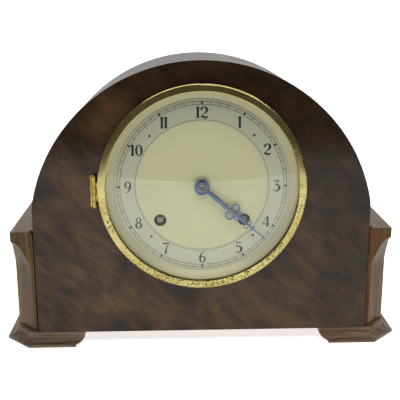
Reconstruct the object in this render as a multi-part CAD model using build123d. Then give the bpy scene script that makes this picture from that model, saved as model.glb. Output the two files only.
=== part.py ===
"""Arched mantel clock with a striking spring movement.

Millimetres. X is to the right as the dial is faced, Y runs from front to back, Z is up.
The drawing is laid out from the face of the front panel (y = 0) and the table top (z = 0).
The finished pieces are moved forward by ORIGIN_Y, so that the origin is the middle of the
clock's footprint, at table height.
"""
import os
from math import asin, atan2, cos, degrees, hypot, pi, radians, sin, sqrt

from build123d import *

# ---- driving dimensions: case -------------------------------------------------------------
PANEL_HALF_W = 132.0        # half width of the arched front panel
PANEL_BOTTOM = 10.0         # height of the panel's lower edge, the thickness of the feet
ARCH_TOP = 226.0
CROWN_R = 133.9             # large middle arc of the three-centred arch
HAUNCH_R = 48.0             # smaller arc on each side, where the arch meets the upright side
PANEL_T = 12.0
CASE_DEPTH = 108.0
SHELL_T = 6.0
SHELL_INSET = 0.4           # the veneered shell stands in from the panel's edge by this
BASE_T = 8.0
BACK_T = 6.0
BACK_INSET = 2.0            # the back frame is let in from the shell's rear edge by this
BACK_REAR = CASE_DEPTH - BACK_INSET
BACK_FRONT = BACK_REAR - BACK_T
BLOCK_LEG = 14.0            # glue blocks: the two short sides of the triangle
BLOCK_L = 24.0

WING_OUT = 151.0            # outer face of the side wings
WING_TOP = 93.5
WING_FRONT = 4.0            # wings stand back from the panel's face
WING_NOSE_R = 3.5
WING_CANT = 15.0            # width of the 45 degree corner below the nose
WING_NOSE_H = 8.0
WING_RUNOUT_H = 25.0        # height of the hollow curve that runs the corner out under the nose
WING_REVEAL_W = 1.6         # narrow groove that parts the wing from the panel's edge
WING_REVEAL_D = 5.0

FOOT_INNER_TOP = 95.0
FOOT_OUT_TOP = 152.5
FOOT_OUT_BOTTOM = 159.5
FOOT_FRONT_TOP = 0.0
FOOT_CANT_TOP = 16.0
FOOT_CANT_BOTTOM = 20.0
FOOT_FILLET_H = 2.2
FOOT_BASE_H = 2.0
FOOT_REAR = CASE_DEPTH - 1.0
FOOT_SCREW_R = 1.7
FOOT_SCREW_HEAD_R = 3.4
FOOT_SCREW_L = 15.0
FOOT_SCREW_PLACES = [(side * 114.0, y) for side in (-1, 1) for y in (30.0, 84.0)]
SCREW_SINK = 0.6            # the foot screws' heads are let in below the underside by this
HOLE_ROOM = 0.05            # screw holes are larger in radius than their screws by this
SLOT_W = 0.6                # width and depth of a screw's driving slot

# ---- driving dimensions: dial, bezel and hands --------------------------------------------
DIAL_Z = 129.0
SIGHT_R = 68.4              # floor radius of the dial pan
PAN_MOUTH_R = 74.6
PAN_FLANGE_R = 79.6
PAN_FLANGE_Y = -1.0         # front of the flange, which lies on the panel's face
PAN_T = 0.8
PAN_WALL = 0.6              # thickness of the pan's sloping wall, measured across
DIAL_Y = 4.0                # face of the dial floor behind the panel's face
CHAPTER_IN = 51.0
CHAPTER_OUT = 68.0
CHAPTER_T = 0.5
RIVET_CIRCLE_R = 56.6       # the rivets that hold the chapter ring
RIVET_R = 0.9
RIVET_H = 0.35
CENTRE_HOLE_R = 4.2
PANEL_HOLE_R = 76.0
BEZEL_OUT = 80.5
BEZEL_IN = 74.4
BEZEL_BACK = -1.3
BEZEL_RIDGE = -6.9          # front of the bezel, just outside its inner lip
BEZEL_FALL = 0.7            # its face falls back by this towards the outer edge
BEZEL_ROUND = 1.2           # radius of the outer edge
BEZEL_LIP_R = 0.5           # radius of the inner edge
BEZEL_LIP_T = 1.8           # depth of the inner edge in front of the glass
GLASS_R = 76.2
GLASS_T = 1.6
GLASS_APEX = -14.8
GLASS_ROOM = 0.2            # radial room for the glass in its rebate
GLASS_EDGE_Y = BEZEL_RIDGE + 2.9
RETAINER_T = 0.7            # ring that holds the glass in from behind
RETAINER_GAP = 0.02
WINDING_X = 32.9
WINDING_Z = 102.0
WINDING_HOLE_R = 4.9
HAND_ANGLE = 130.0          # the hands lie together at about 22 minutes past four
MINUTE_HAND_L = 67.0
HOUR_HAND_L = 44.0
MINUTE_Y = -2.6
HOUR_Y = 0.2
HAND_T = 0.7

# ---- driving dimensions: movement ---------------------------------------------------------
FRONT_PLATE_Y = 14.0
BACK_PLATE_Y = 46.0
PLATE_T = 2.2
PLATE_HALF_W = 58.0
PLATE_LOW = 76.0
PLATE_HIGH = 174.0
PILLAR_R = 3.5
ARBOR_R = 0.8
PIVOT_GAP = 0.06            # running clearance of every pivot in its hole
PIVOT_OUT = 0.6             # the arbors' ends stand out of the plates by this
STUD_R = 1.2                # fixed studs on the front plate, and the hammer's arbor
CLICK_STUD_R = 1.0
BARREL_R = 18.0
ESCAPE_R = 9.0
ESCAPE_TEETH = 30
ESCAPE_TOOTH_H = 1.6
PENDULUM_PIVOT_Z = 168.0
PENDULUM_Y = 57.0
PENDULUM_ROD_R = 1.2
BOB_Z = 52.0
BOB_R = 15.0
BOB_HALF_T = 4.0
BOB_EDGE = 0.5              # half the thickness left at the bob's rim
RATING_NUT_R = 3.2
RATING_NUT_H = 2.4

# ---- hinges -------------------------------------------------------------------------------
KNUCKLE_R = 1.9
PIN_R = 0.8
PIN_GAP = 0.06
KNUCKLE_GAP = 0.3
HINGE_COUNT = 5             # knuckles in every hinge
BEZEL_HINGE_X = -83.0
BEZEL_HINGE_Y = -2.6
BEZEL_HINGE_L = 24.5
BEZEL_HINGE_Z = 127.4
BEZEL_LEAF_T = 0.7
BEZEL_LEAF_W = 3.0
BEZEL_STRAP_W = 1.4         # upright strap that joins the bezel leaf's knuckles
DOOR_HALF_W = 74.0
DOOR_LOW = 34.0
DOOR_SPRING = 122.0
DOOR_GAP = 1.0
DOOR_HINGE_L = 24.0
DOOR_HINGE_X = -DOOR_HALF_W
DOOR_HINGE_Y = BACK_REAR + KNUCKLE_R
DOOR_HINGE_Z = 84.0
DOOR_LEAF_T = 0.8
DOOR_LEAF_W = 9.0

KNOB_L = 7.0
FRONT_MOST = GLASS_APEX
REAR_MOST = BACK_REAR + KNOB_L
ORIGIN_Y = -(FRONT_MOST + REAR_MOST) / 2

CENTRE = (0.0, DIAL_Z)
parts = {}


# ---- drawing helpers ----------------------------------------------------------------------
def keep(name, *solids):
    """Files one named piece, or a group of like pieces, moved into the clock's own frame."""
    found = [Pos(0, ORIGIN_Y, 0) * solid for shape in solids for solid in shape.solids()]
    parts[name] = found[0] if len(found) == 1 else Compound(found)


def slab(sketch, y_front, y_back):
    """Extrudes a front-view sketch, drawn as (x, z), between two depths."""
    plane = Plane(origin=(0, y_back, 0), x_dir=(1, 0, 0), z_dir=(0, -1, 0))
    return extrude(plane * sketch, amount=y_back - y_front)


def disc(r, y_front, y_back, centre=CENTRE):
    """A round plate or rod, lying fore and aft between two depths."""
    return slab(Pos(*centre) * Circle(r), y_front, y_back)


def turned(points, centre=CENTRE):
    """Turns a closed outline of (radius, y) points about the fore-and-aft axis at a centre."""
    outline = make_face(Polyline(*[(r, y, 0) for r, y in points], close=True))
    body = revolve(outline, axis=Axis.Y, revolution_arc=360)
    return Pos(centre[0], 0, centre[1]) * body


def upright(sketch, z_low, z_high):
    """Extrudes a plan-view sketch between two heights."""
    return extrude(Plane.XY.offset(z_low) * sketch, amount=z_high - z_low)


def bar(p, q, width):
    """A straight bar between two (x, z) points, with round ends."""
    length = hypot(q[0] - p[0], q[1] - p[1])
    angle = degrees(atan2(q[1] - p[1], q[0] - p[0]))
    middle = ((p[0] + q[0]) / 2, (p[1] + q[1]) / 2)
    return Pos(*middle) * Rot(0, 0, angle) * SlotCenterToCenter(length, width)


def polar(centre, radius, angle):
    """The (x, z) point at a radius and an angle, in degrees, from a centre."""
    return (centre[0] + radius * cos(radians(angle)), centre[1] + radius * sin(radians(angle)))


def drilled(shape, holes):
    """The shape with every hole taken out of it."""
    for hole in holes:
        shape = shape - hole
    return shape


def arch_sketch(inset, bottom):
    """The three-centred arch with upright sides, drawn in by an inset, down to a level."""
    half_w = PANEL_HALF_W - inset
    crown_r = CROWN_R - inset
    haunch_r = HAUNCH_R - inset
    crown_z = ARCH_TOP - CROWN_R
    haunch_x = PANEL_HALF_W - HAUNCH_R
    haunch_z = crown_z + sqrt((CROWN_R - HAUNCH_R) ** 2 - haunch_x ** 2)
    lean = atan2(haunch_x, haunch_z - crown_z)
    meet = (crown_r * sin(lean), crown_z + crown_r * cos(lean))
    haunch_mid = (haunch_x + haunch_r * cos((pi / 2 - lean) / 2),
                  haunch_z + haunch_r * sin((pi / 2 - lean) / 2))
    edges = [
        Line((-half_w, bottom), (half_w, bottom)),
        Line((half_w, bottom), (half_w, haunch_z)),
        ThreePointArc((half_w, haunch_z), haunch_mid, meet),
        ThreePointArc(meet, (0, ARCH_TOP - inset), (-meet[0], meet[1])),
        ThreePointArc((-meet[0], meet[1]), (-haunch_mid[0], haunch_mid[1]), (-half_w, haunch_z)),
        Line((-half_w, haunch_z), (-half_w, bottom)),
    ]
    return make_face(edges)


# ---- case ---------------------------------------------------------------------------------
def make_front_panel():
    """The arched front board, with the round hole for the dial."""
    panel = slab(arch_sketch(0, PANEL_BOTTOM), 0, PANEL_T)
    return panel - disc(PANEL_HOLE_R, -1, PANEL_T + 1)


def make_arch_shell():
    """The bent sides and top of the case, open front and back and below."""
    outer = slab(arch_sketch(SHELL_INSET, PANEL_BOTTOM), PANEL_T, CASE_DEPTH)
    inner = slab(arch_sketch(SHELL_INSET + SHELL_T, PANEL_BOTTOM - 1), PANEL_T - 1, CASE_DEPTH + 1)
    return outer - inner


def make_base_board():
    """The floor board, between the shell's sides."""
    half_w = PANEL_HALF_W - SHELL_INSET - SHELL_T
    depth = BACK_FRONT - PANEL_T
    return Pos(0, PANEL_T + depth / 2, PANEL_BOTTOM + BASE_T / 2) * Box(2 * half_w, depth, BASE_T)


def door_sketch(gap):
    """The back door: straight sides and a round head, drawn in by a gap."""
    half_w = DOOR_HALF_W - gap
    top = DOOR_SPRING + half_w
    return make_face([
        Line((-half_w, DOOR_LOW + gap), (half_w, DOOR_LOW + gap)),
        Line((half_w, DOOR_LOW + gap), (half_w, DOOR_SPRING)),
        ThreePointArc((half_w, DOOR_SPRING), (0, top), (-half_w, DOOR_SPRING)),
        Line((-half_w, DOOR_SPRING), (-half_w, DOOR_LOW + gap)),
    ])


def make_back_frame():
    """The fixed back board, cut out for the door."""
    frame = slab(arch_sketch(SHELL_INSET + SHELL_T, PANEL_BOTTOM), BACK_FRONT, BACK_REAR)
    return frame - slab(door_sketch(0), BACK_FRONT - 1, BACK_REAR + 1)


def make_wing(side):
    """A solid side block: square nose on top, 45 degree front corner run out under the nose."""
    inner = PANEL_HALF_W - SHELL_INSET
    width = WING_OUT - inner
    depth = CASE_DEPTH - WING_FRONT
    height = WING_TOP - PANEL_BOTTOM
    block = Pos((WING_OUT + inner) / 2, WING_FRONT + depth / 2, PANEL_BOTTOM + height / 2) * Box(
        width, depth, height)
    # The cutter follows the corner: a plan-view triangle swept up and faded out by a hollow
    # curve, drawn as a side profile in the plane that looks square at the canted corner.
    start = WING_TOP - WING_NOSE_H
    fade = start - WING_RUNOUT_H
    reach = WING_CANT / sqrt(2)
    profile = make_face([
        Line((0, PANEL_BOTTOM - 1), (reach, PANEL_BOTTOM - 1)),
        Line((reach, PANEL_BOTTOM - 1), (reach, fade)),
        Spline((reach, fade), (reach * 0.62, fade + WING_RUNOUT_H * 0.62), (0, start),
               tangents=[(0, 1), (-1, 0.35)]),
        Line((0, start), (0, PANEL_BOTTOM - 1)),
    ])
    corner_plane = Plane(origin=(WING_OUT, WING_FRONT, 0), x_dir=(-1, 1, 0), z_dir=(1, 1, 0))
    cutter = extrude(corner_plane * profile, amount=2 * WING_CANT, both=True)
    # The cutter removes what lies outside the canted face.
    block -= cutter
    block -= slab(arch_sketch(-WING_REVEAL_W, PANEL_BOTTOM - 1), -1, WING_FRONT + WING_REVEAL_D)
    block -= slab(arch_sketch(0, PANEL_BOTTOM - 1), -1, PANEL_T)
    top_out = block.edges().filter_by(Axis.Y).sort_by(Axis.Z)[-2:].sort_by(Axis.X)[-1]
    block = fillet(top_out, WING_NOSE_R)
    return block if side > 0 else mirror(block, about=Plane.YZ)


def foot_outline(grow, z):
    """Plan of the foot at a height: a rectangle with a 45 degree front outer corner."""
    out = FOOT_OUT_TOP + grow
    front = FOOT_FRONT_TOP - grow
    cant = FOOT_CANT_TOP + (FOOT_CANT_BOTTOM - FOOT_CANT_TOP) * grow / (
        FOOT_OUT_BOTTOM - FOOT_OUT_TOP)
    inner = FOOT_INNER_TOP + grow
    points = [(inner, front), (out - cant, front), (out, front + cant), (out, FOOT_REAR),
              (inner, FOOT_REAR)]
    return Plane.XY.offset(z) * make_face(Polyline(*points, close=True))


def make_foot(side):
    """A foot block, moulded on its front, corner and side with a hollow that spreads outward."""
    spread = FOOT_OUT_BOTTOM - FOOT_OUT_TOP
    top = PANEL_BOTTOM
    hollow_top = top - FOOT_FILLET_H
    hollow_h = hollow_top - FOOT_BASE_H
    steps = 5
    foot = loft([foot_outline(0, hollow_top), foot_outline(0, top)], ruled=True)
    levels = []
    for i in range(steps + 1):
        turn = i / steps * pi / 2
        levels.append((spread * (1 - sin(turn)), FOOT_BASE_H + hollow_h * (1 - cos(turn))))
    for (grow_a, z_a), (grow_b, z_b) in zip(levels, levels[1:]):
        foot += loft([foot_outline(grow_a, z_a), foot_outline(grow_b, z_b)], ruled=True)
    foot += loft([foot_outline(spread, 0), foot_outline(spread, FOOT_BASE_H)], ruled=True)
    return foot if side > 0 else mirror(foot, about=Plane.YZ)


def make_glue_blocks():
    """Four triangular blocks glued in the corners between the shell and the base board."""
    floor = PANEL_BOTTOM + BASE_T
    wall = PANEL_HALF_W - SHELL_INSET - SHELL_T
    blocks = []
    for side in (-1, 1):
        for y in (26.0, 76.0):
            corner = make_face(Polyline((side * wall, floor), (side * (wall - BLOCK_LEG), floor),
                                        (side * wall, floor + BLOCK_LEG), close=True))
            blocks.append(slab(corner, y, y + BLOCK_L))
    return blocks


def make_foot_screw(x, y):
    """A countersunk screw driven upwards, its slotted head let in below the foot."""
    head_h = FOOT_SCREW_HEAD_R - FOOT_SCREW_R
    head = Pos(x, y, SCREW_SINK + head_h / 2) * Cone(FOOT_SCREW_HEAD_R, FOOT_SCREW_R, head_h)
    shank = Pos(x, y, SCREW_SINK + FOOT_SCREW_L / 2) * Cylinder(FOOT_SCREW_R, FOOT_SCREW_L)
    slot = Pos(x, y, SCREW_SINK + SLOT_W / 2) * Box(2 * FOOT_SCREW_HEAD_R, SLOT_W, SLOT_W)
    return head + shank - slot


def foot_screw_hole(x, y):
    """The countersunk hole for a foot screw, through the foot and up into the base board."""
    wide = FOOT_SCREW_HEAD_R + HOLE_ROOM
    slim = FOOT_SCREW_R + HOLE_ROOM
    length = FOOT_SCREW_L + 0.2
    hole = Pos(x, y, SCREW_SINK / 2 - 0.5) * Cylinder(wide, SCREW_SINK + 1.0)
    hole += Pos(x, y, SCREW_SINK + (wide - slim) / 2) * Cone(wide, slim, wide - slim)
    return hole + Pos(x, y, SCREW_SINK + length / 2) * Cylinder(slim, length)


foot_screws = [make_foot_screw(x, y) for x, y in FOOT_SCREW_PLACES]
foot_screw_holes = [foot_screw_hole(x, y) for x, y in FOOT_SCREW_PLACES]
keep("arch_shell", make_arch_shell())
keep("base_board", drilled(make_base_board(), foot_screw_holes))
keep("left_wing", make_wing(-1))
keep("right_wing", make_wing(1))
keep("left_foot", drilled(make_foot(-1), foot_screw_holes))
keep("right_foot", drilled(make_foot(1), foot_screw_holes))
keep("glue_blocks", *make_glue_blocks())


# ---- dial ---------------------------------------------------------------------------------
def make_dial_pan():
    """One brass pressing: a flange on the panel, a sloping sight ring and the dial floor."""
    pan = turned([
        (0, DIAL_Y), (SIGHT_R, DIAL_Y), (PAN_MOUTH_R, PAN_FLANGE_Y),
        (PAN_FLANGE_R, PAN_FLANGE_Y), (PAN_FLANGE_R, 0), (PAN_MOUTH_R + PAN_WALL, 0),
        (SIGHT_R + PAN_WALL, DIAL_Y + PAN_T), (0, DIAL_Y + PAN_T)])
    pan -= disc(CENTRE_HOLE_R, DIAL_Y - 1, DIAL_Y + 2)
    for side in (-1, 1):
        pan -= disc(WINDING_HOLE_R, DIAL_Y - 1, DIAL_Y + 2, (side * WINDING_X, WINDING_Z))
    return pan


def make_chapter_ring():
    """The flat silvered ring that carries the numerals."""
    ring = Circle(CHAPTER_OUT) - Circle(CHAPTER_IN)
    return slab(Pos(*CENTRE) * ring, DIAL_Y - CHAPTER_T, DIAL_Y)


def make_chapter_pins():
    """Four rivet heads that hold the chapter ring."""
    pins = []
    for angle in (45, 135, 225, 315):
        at = polar(CENTRE, RIVET_CIRCLE_R, angle)
        pins.append(disc(RIVET_R, DIAL_Y - CHAPTER_T - RIVET_H, DIAL_Y - CHAPTER_T, at))
    return pins


keep("dial_pan", make_dial_pan())
keep("chapter_ring", make_chapter_ring())
keep("chapter_ring_pins", *make_chapter_pins())


# ---- hinged bezel -------------------------------------------------------------------------
def make_bezel_ring():
    """A rolled brass ring: face leaning outward, rounded edges, rebate behind for the glass."""
    rebate_r = GLASS_R + GLASS_ROOM
    shoulder_r = BEZEL_OUT - BEZEL_ROUND
    shoulder_y = BEZEL_RIDGE + BEZEL_FALL
    ridge_r = BEZEL_IN + BEZEL_LIP_R
    out_bend = BEZEL_ROUND * (1 - sqrt(0.5))
    lip_bend = BEZEL_LIP_R * (1 - sqrt(0.5))
    lip_back = BEZEL_RIDGE + BEZEL_LIP_T
    face = [
        Line((rebate_r, BEZEL_BACK), (BEZEL_OUT, BEZEL_BACK)),
        Line((BEZEL_OUT, BEZEL_BACK), (BEZEL_OUT, shoulder_y + BEZEL_ROUND)),
        ThreePointArc((BEZEL_OUT, shoulder_y + BEZEL_ROUND),
                      (BEZEL_OUT - out_bend, shoulder_y + out_bend), (shoulder_r, shoulder_y)),
        ThreePointArc((shoulder_r, shoulder_y),
                      ((shoulder_r + ridge_r) / 2, BEZEL_RIDGE + 0.36 * BEZEL_FALL),
                      (ridge_r, BEZEL_RIDGE)),
        ThreePointArc((ridge_r, BEZEL_RIDGE), (BEZEL_IN + lip_bend, BEZEL_RIDGE + lip_bend),
                      (BEZEL_IN, BEZEL_RIDGE + BEZEL_LIP_R)),
        Line((BEZEL_IN, BEZEL_RIDGE + BEZEL_LIP_R), (BEZEL_IN, lip_back)),
        Line((BEZEL_IN, lip_back), (rebate_r, GLASS_EDGE_Y - 0.4)),
        Line((rebate_r, GLASS_EDGE_Y - 0.4), (rebate_r, BEZEL_BACK)),
    ]
    ring = revolve(make_face(face), axis=Axis.Y, revolution_arc=360)
    return Pos(CENTRE[0], 0, CENTRE[1]) * ring


def make_glass():
    """A convex glass of even thickness."""
    rise = GLASS_EDGE_Y - GLASS_APEX
    outer_r = (GLASS_R ** 2 + rise ** 2) / (2 * rise)
    inner_r = outer_r - GLASS_T
    centre_y = GLASS_APEX + outer_r
    back_edge_y = centre_y - sqrt(inner_r ** 2 - GLASS_R ** 2)

    def on_dome(radius, lean):
        return (radius * sin(lean), centre_y - radius * cos(lean))

    half_out = asin(GLASS_R / outer_r) / 2
    half_in = asin(GLASS_R / inner_r) / 2
    section = make_face([
        ThreePointArc((0, GLASS_APEX), on_dome(outer_r, half_out), (GLASS_R, GLASS_EDGE_Y)),
        Line((GLASS_R, GLASS_EDGE_Y), (GLASS_R, back_edge_y)),
        ThreePointArc((GLASS_R, back_edge_y), on_dome(inner_r, half_in), (0, GLASS_APEX + GLASS_T)),
        Line((0, GLASS_APEX + GLASS_T), (0, GLASS_APEX)),
    ])
    glass = revolve(section, axis=Axis.Y, revolution_arc=360)
    return Pos(CENTRE[0], 0, CENTRE[1]) * glass, back_edge_y


def make_retainer(behind):
    """A thin flat ring pressed in behind the edge of the glass."""
    ring = Circle(GLASS_R + GLASS_ROOM) - Circle(BEZEL_IN + 0.3)
    front = behind + RETAINER_GAP
    return slab(Pos(*CENTRE) * ring, front, front + RETAINER_T)


def knuckles(axis_x, axis_y, z_middle, length, count, first):
    """Every second knuckle of a hinge, as upright tubes with room for the pin."""
    pitch = length / count
    tubes = []
    for i in range(first, count, 2):
        low = z_middle - length / 2 + i * pitch + KNUCKLE_GAP / 2
        high = low + pitch - KNUCKLE_GAP
        bore_r = PIN_R + PIN_GAP if first == 0 else PIN_R
        ring = Circle(KNUCKLE_R) - Circle(bore_r)
        tubes.append(upright(Pos(axis_x, axis_y) * ring, low, high))
    return tubes


def leaf_tabs(axis_x, axis_y, x_far, y_low, y_high, z_middle, length, count, first):
    """Flat tabs that join a leaf to each of its knuckles."""
    pitch = length / count
    tabs = []
    for i in range(first, count, 2):
        low = z_middle - length / 2 + i * pitch + KNUCKLE_GAP / 2
        height = pitch - KNUCKLE_GAP
        x_mid = (axis_x + x_far) / 2
        tab = Pos(x_mid, (y_low + y_high) / 2, low + height / 2) * Box(
            abs(x_far - axis_x), y_high - y_low, height)
        bore_r = PIN_R + PIN_GAP if first == 0 else PIN_R
        tabs.append(tab - Pos(axis_x, axis_y, low + height / 2) * Cylinder(bore_r, height + 1))
    return tabs


def hinge_pin(axis_x, axis_y, z_middle, length):
    """A plain pin with a small head at each end."""
    head_h = 0.5
    pin = Pos(axis_x, axis_y, z_middle) * Cylinder(PIN_R, length + 2 * head_h + KNUCKLE_GAP)
    for end in (-1, 1):
        head_z = z_middle + end * (length + head_h + KNUCKLE_GAP) / 2
        pin += Pos(axis_x, axis_y, head_z) * Cylinder(PIN_R + 0.5, head_h)
    return pin


def make_bezel_hinge():
    """Case leaf on the panel's face, bezel leaf against the ring, and the pin."""
    x, y = BEZEL_HINGE_X, BEZEL_HINGE_Y
    args = (BEZEL_HINGE_Z, BEZEL_HINGE_L, HINGE_COUNT)
    pitch = BEZEL_HINGE_L / HINGE_COUNT
    case_leaf = Pos(x - BEZEL_LEAF_W / 2, -BEZEL_LEAF_T / 2, BEZEL_HINGE_Z) * Box(
        BEZEL_LEAF_W, BEZEL_LEAF_T, BEZEL_HINGE_L)
    for piece in knuckles(x, y, *args, 0) + leaf_tabs(x, y, x - KNUCKLE_R, y, 0.0, *args, 0):
        case_leaf += piece
    sweep = Pos(x, y, BEZEL_HINGE_Z) * Cylinder(KNUCKLE_R + KNUCKLE_GAP, pitch)
    for i in (-1, 1):
        case_leaf -= Pos(0, 0, i * pitch) * sweep
    strap_x = x + KNUCKLE_R + KNUCKLE_GAP + BEZEL_STRAP_W / 2
    bezel_leaf = Pos(strap_x, y - 0.4, BEZEL_HINGE_Z) * Box(
        BEZEL_STRAP_W, 2.8, 3 * pitch - KNUCKLE_GAP)
    for piece in knuckles(x, y, *args, 1) + leaf_tabs(x, y, -PAN_MOUTH_R, y - 1.1, y + 0.4, *args, 1):
        bezel_leaf += piece
    bezel_leaf -= disc(BEZEL_OUT, BEZEL_RIDGE - 2, BEZEL_BACK + 3)
    return case_leaf, bezel_leaf, hinge_pin(x, y, BEZEL_HINGE_Z, BEZEL_HINGE_L)


case_leaf, bezel_leaf, bezel_pin = make_bezel_hinge()
glass, glass_back_y = make_glass()
keep("bezel_ring", make_bezel_ring())
keep("bezel_glass", glass)
keep("glass_retainer", make_retainer(glass_back_y) - glass)
keep("bezel_hinge_case_leaf", case_leaf)
keep("bezel_hinge_door_leaf", bezel_leaf)
keep("bezel_hinge_pin", bezel_pin)

# ---- hands --------------------------------------------------------------------------------
CENTRE_ARBOR_R = 1.5
CANNON_PIPE_R = 2.2
HOUR_PIPE_R = 3.4
COLLET_L = 4.0              # collet in front of the centre wheel
COLLAR_R = 2.6              # collar on the centre arbor that bears on the collet


def loop(x, z, r_out, r_in):
    """One of the pierced rings in a hand."""
    return Pos(x, z) * (Circle(r_out) - Circle(r_in))


def hand_outline(points):
    """A symmetrical blade from (half width, height) points going up one side."""
    left = [(-w, h) for w, h in points if w > 0]
    right = [(w, h) for w, h in reversed(points)]
    return make_face(Polyline(*(left + right), close=True))


def make_minute_hand():
    """Long pierced hand: boss, slim shaft, a pair of loops, a collar and a needle point."""
    tip = MINUTE_HAND_L
    blade = hand_outline([(1.0, 3.0), (1.35, 22.0), (0.75, 42.5), (0.55, tip - 8), (0, tip)])
    sketch = Circle(4.4) + blade
    for side in (-1, 1):
        sketch += loop(side * 1.9, 46.0, 2.0, 1.25)
    sketch += Pos(0, 51.2) * RectangleRounded(4.4, 1.3, 0.5)
    sketch += Pos(0, 42.6) * RectangleRounded(3.0, 1.1, 0.5)
    sketch -= Circle(CENTRE_ARBOR_R)
    return slab(Pos(*CENTRE) * Rot(0, 0, -HAND_ANGLE) * sketch, MINUTE_Y, MINUTE_Y + HAND_T)


def make_hour_hand():
    """Short pierced hand: boss, swelling shaft, collar, a large pair of loops and a spade."""
    tip = HOUR_HAND_L
    blade = hand_outline([(1.3, 5.0), (2.1, 14.0), (1.1, 23.5), (0.9, 36.5), (0, tip)])
    sketch = Circle(6.2) + blade
    sketch += Pos(0, 24.0) * RectangleRounded(5.2, 1.4, 0.6)
    for side in (-1, 1):
        sketch += loop(side * 3.6, 31.0, 3.7, 2.5)
        sketch += loop(side * 1.9, 36.6, 2.0, 1.1)
    spade = hand_outline([(0.8, 37.5), (2.1, 39.6), (1.2, 41.2), (0, tip)])
    sketch += spade
    sketch -= Circle(HOUR_PIPE_R - 1.0)
    return slab(Pos(*CENTRE) * Rot(0, 0, -HAND_ANGLE) * sketch, HOUR_Y, HOUR_Y + HAND_T)


def make_hand_nut():
    """A bright domed nut that holds the minute hand on its arbor."""
    return turned([
        (CENTRE_ARBOR_R, MINUTE_Y), (3.2, MINUTE_Y), (3.2, MINUTE_Y - 0.9), (2.8, MINUTE_Y - 1.8),
        (2.1, MINUTE_Y - 2.3), (CENTRE_ARBOR_R, MINUTE_Y - 2.5)])


keep("minute_hand", make_minute_hand())
keep("hour_hand", make_hour_hand())
keep("hand_nut", make_hand_nut())


# ---- wheels -------------------------------------------------------------------------------
ADDENDUM = 0.6
DEDENDUM = 0.95
TOOTH_ROOT = 0.25           # tooth half widths, as shares of the pitch
TOOTH_TIP = 0.09
SPOKE_W = 2.0
SPOKES = 4
HUB_R = 3.0
WHEEL_T = 1.4
THIN_WHEEL_T = 1.2


def gear_sketch(teeth, module, phase, centre):
    """A wheel outline with straight-sided teeth; phase is the angle of one tooth, in degrees."""
    pitch_r = teeth * module / 2
    tip_r = pitch_r + ADDENDUM * module
    root_r = pitch_r - DEDENDUM * module
    step = 360 / teeth
    points = []
    for i in range(teeth):
        middle = phase + i * step
        for radius, share in ((root_r, -TOOTH_ROOT), (tip_r, -TOOTH_TIP), (tip_r, TOOTH_TIP),
                              (root_r, TOOTH_ROOT)):
            points.append(polar(centre, radius, middle + share * step))
    return make_face(Polyline(*points, close=True))


def mesh_phase(teeth_a, phase_a, centre_a, teeth_b, centre_b):
    """The tooth angle of wheel b that puts one of its gaps on a tooth of wheel a."""
    line = degrees(atan2(centre_b[1] - centre_a[1], centre_b[0] - centre_a[0]))
    return line + 180 - 180 / teeth_b - (phase_a - line) * teeth_a / teeth_b


def crossings(centre, hub_r, rim_r, spokes, phase):
    """The openings between a wheel's spokes."""
    holes = []
    for i in range(spokes):
        angle = phase + i * 360 / spokes
        half = 180 / spokes
        inner_gap = degrees(asin(SPOKE_W / 2 / hub_r))
        outer_gap = degrees(asin(SPOKE_W / 2 / rim_r))
        corners = [
            polar(centre, hub_r, angle - half + inner_gap),
            polar(centre, rim_r, angle - half + outer_gap),
            polar(centre, rim_r, angle),
            polar(centre, rim_r, angle + half - outer_gap),
            polar(centre, hub_r, angle + half - inner_gap),
        ]
        holes.append(make_face([
            Line(corners[0], corners[1]), ThreePointArc(corners[1], corners[2], corners[3]),
            Line(corners[3], corners[4]),
            ThreePointArc(corners[4], polar(centre, hub_r, angle), corners[0])]))
    return holes


def wheel(teeth, module, phase, centre, y, hub_r=HUB_R, thickness=WHEEL_T):
    """A toothed wheel crossed out to four spokes, its front face at depth y."""
    sketch = gear_sketch(teeth, module, phase, centre)
    rim_r = teeth * module / 2 - 2.2 * module - 0.8
    for hole in crossings(centre, hub_r, rim_r, SPOKES, phase):
        sketch -= hole
    return slab(sketch, y, y + thickness)


def pinion(teeth, module, phase, centre, y_front, y_back):
    """A small solid wheel, drawn out fore and aft between two depths."""
    return slab(gear_sketch(teeth, module, phase, centre), y_front, y_back)


def arbor(centre, radius=ARBOR_R, front=FRONT_PLATE_Y - PIVOT_OUT,
          back=BACK_PLATE_Y + PLATE_T + PIVOT_OUT):
    """A wheel's axle, whose ends run in holes in the two plates."""
    return disc(radius, front, back, centre)


GREAT = (72, 0.6)
SECOND_PINION = 12
SECOND = (60, 0.6)
CENTRE_PINION = 10
CENTRE_WHEEL = (62, 0.5)
THIRD_PINION = 8
THIRD = (60, 0.4)
ESCAPE_PINION = 8
STRIKE_THIRD = (60, 0.45)
WARNING_PINION = 8
WARNING = (50, 0.4)
FLY_PINION = 8

GREAT_TO_SECOND = (GREAT[0] + SECOND_PINION) * GREAT[1] / 2
SECOND_TO_CENTRE = (SECOND[0] + CENTRE_PINION) * SECOND[1] / 2
CENTRE_TO_THIRD = (CENTRE_WHEEL[0] + THIRD_PINION) * CENTRE_WHEEL[1] / 2
THIRD_TO_ESCAPE = (THIRD[0] + ESCAPE_PINION) * THIRD[1] / 2
STRIKE_THIRD_TO_WARNING = (STRIKE_THIRD[0] + WARNING_PINION) * STRIKE_THIRD[1] / 2
WARNING_TO_FLY = (WARNING[0] + FLY_PINION) * WARNING[1] / 2


def third_corner(a, reach_a, b, reach_b, side):
    """The point at one reach from a and another from b, on the chosen side of the line."""
    span = hypot(b[0] - a[0], b[1] - a[1])
    along = (reach_a ** 2 - reach_b ** 2 + span ** 2) / (2 * span)
    off = side * sqrt(reach_a ** 2 - along ** 2)
    ux, uz = (b[0] - a[0]) / span, (b[1] - a[1]) / span
    return (a[0] + along * ux - off * uz, a[1] + along * uz + off * ux)


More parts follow.
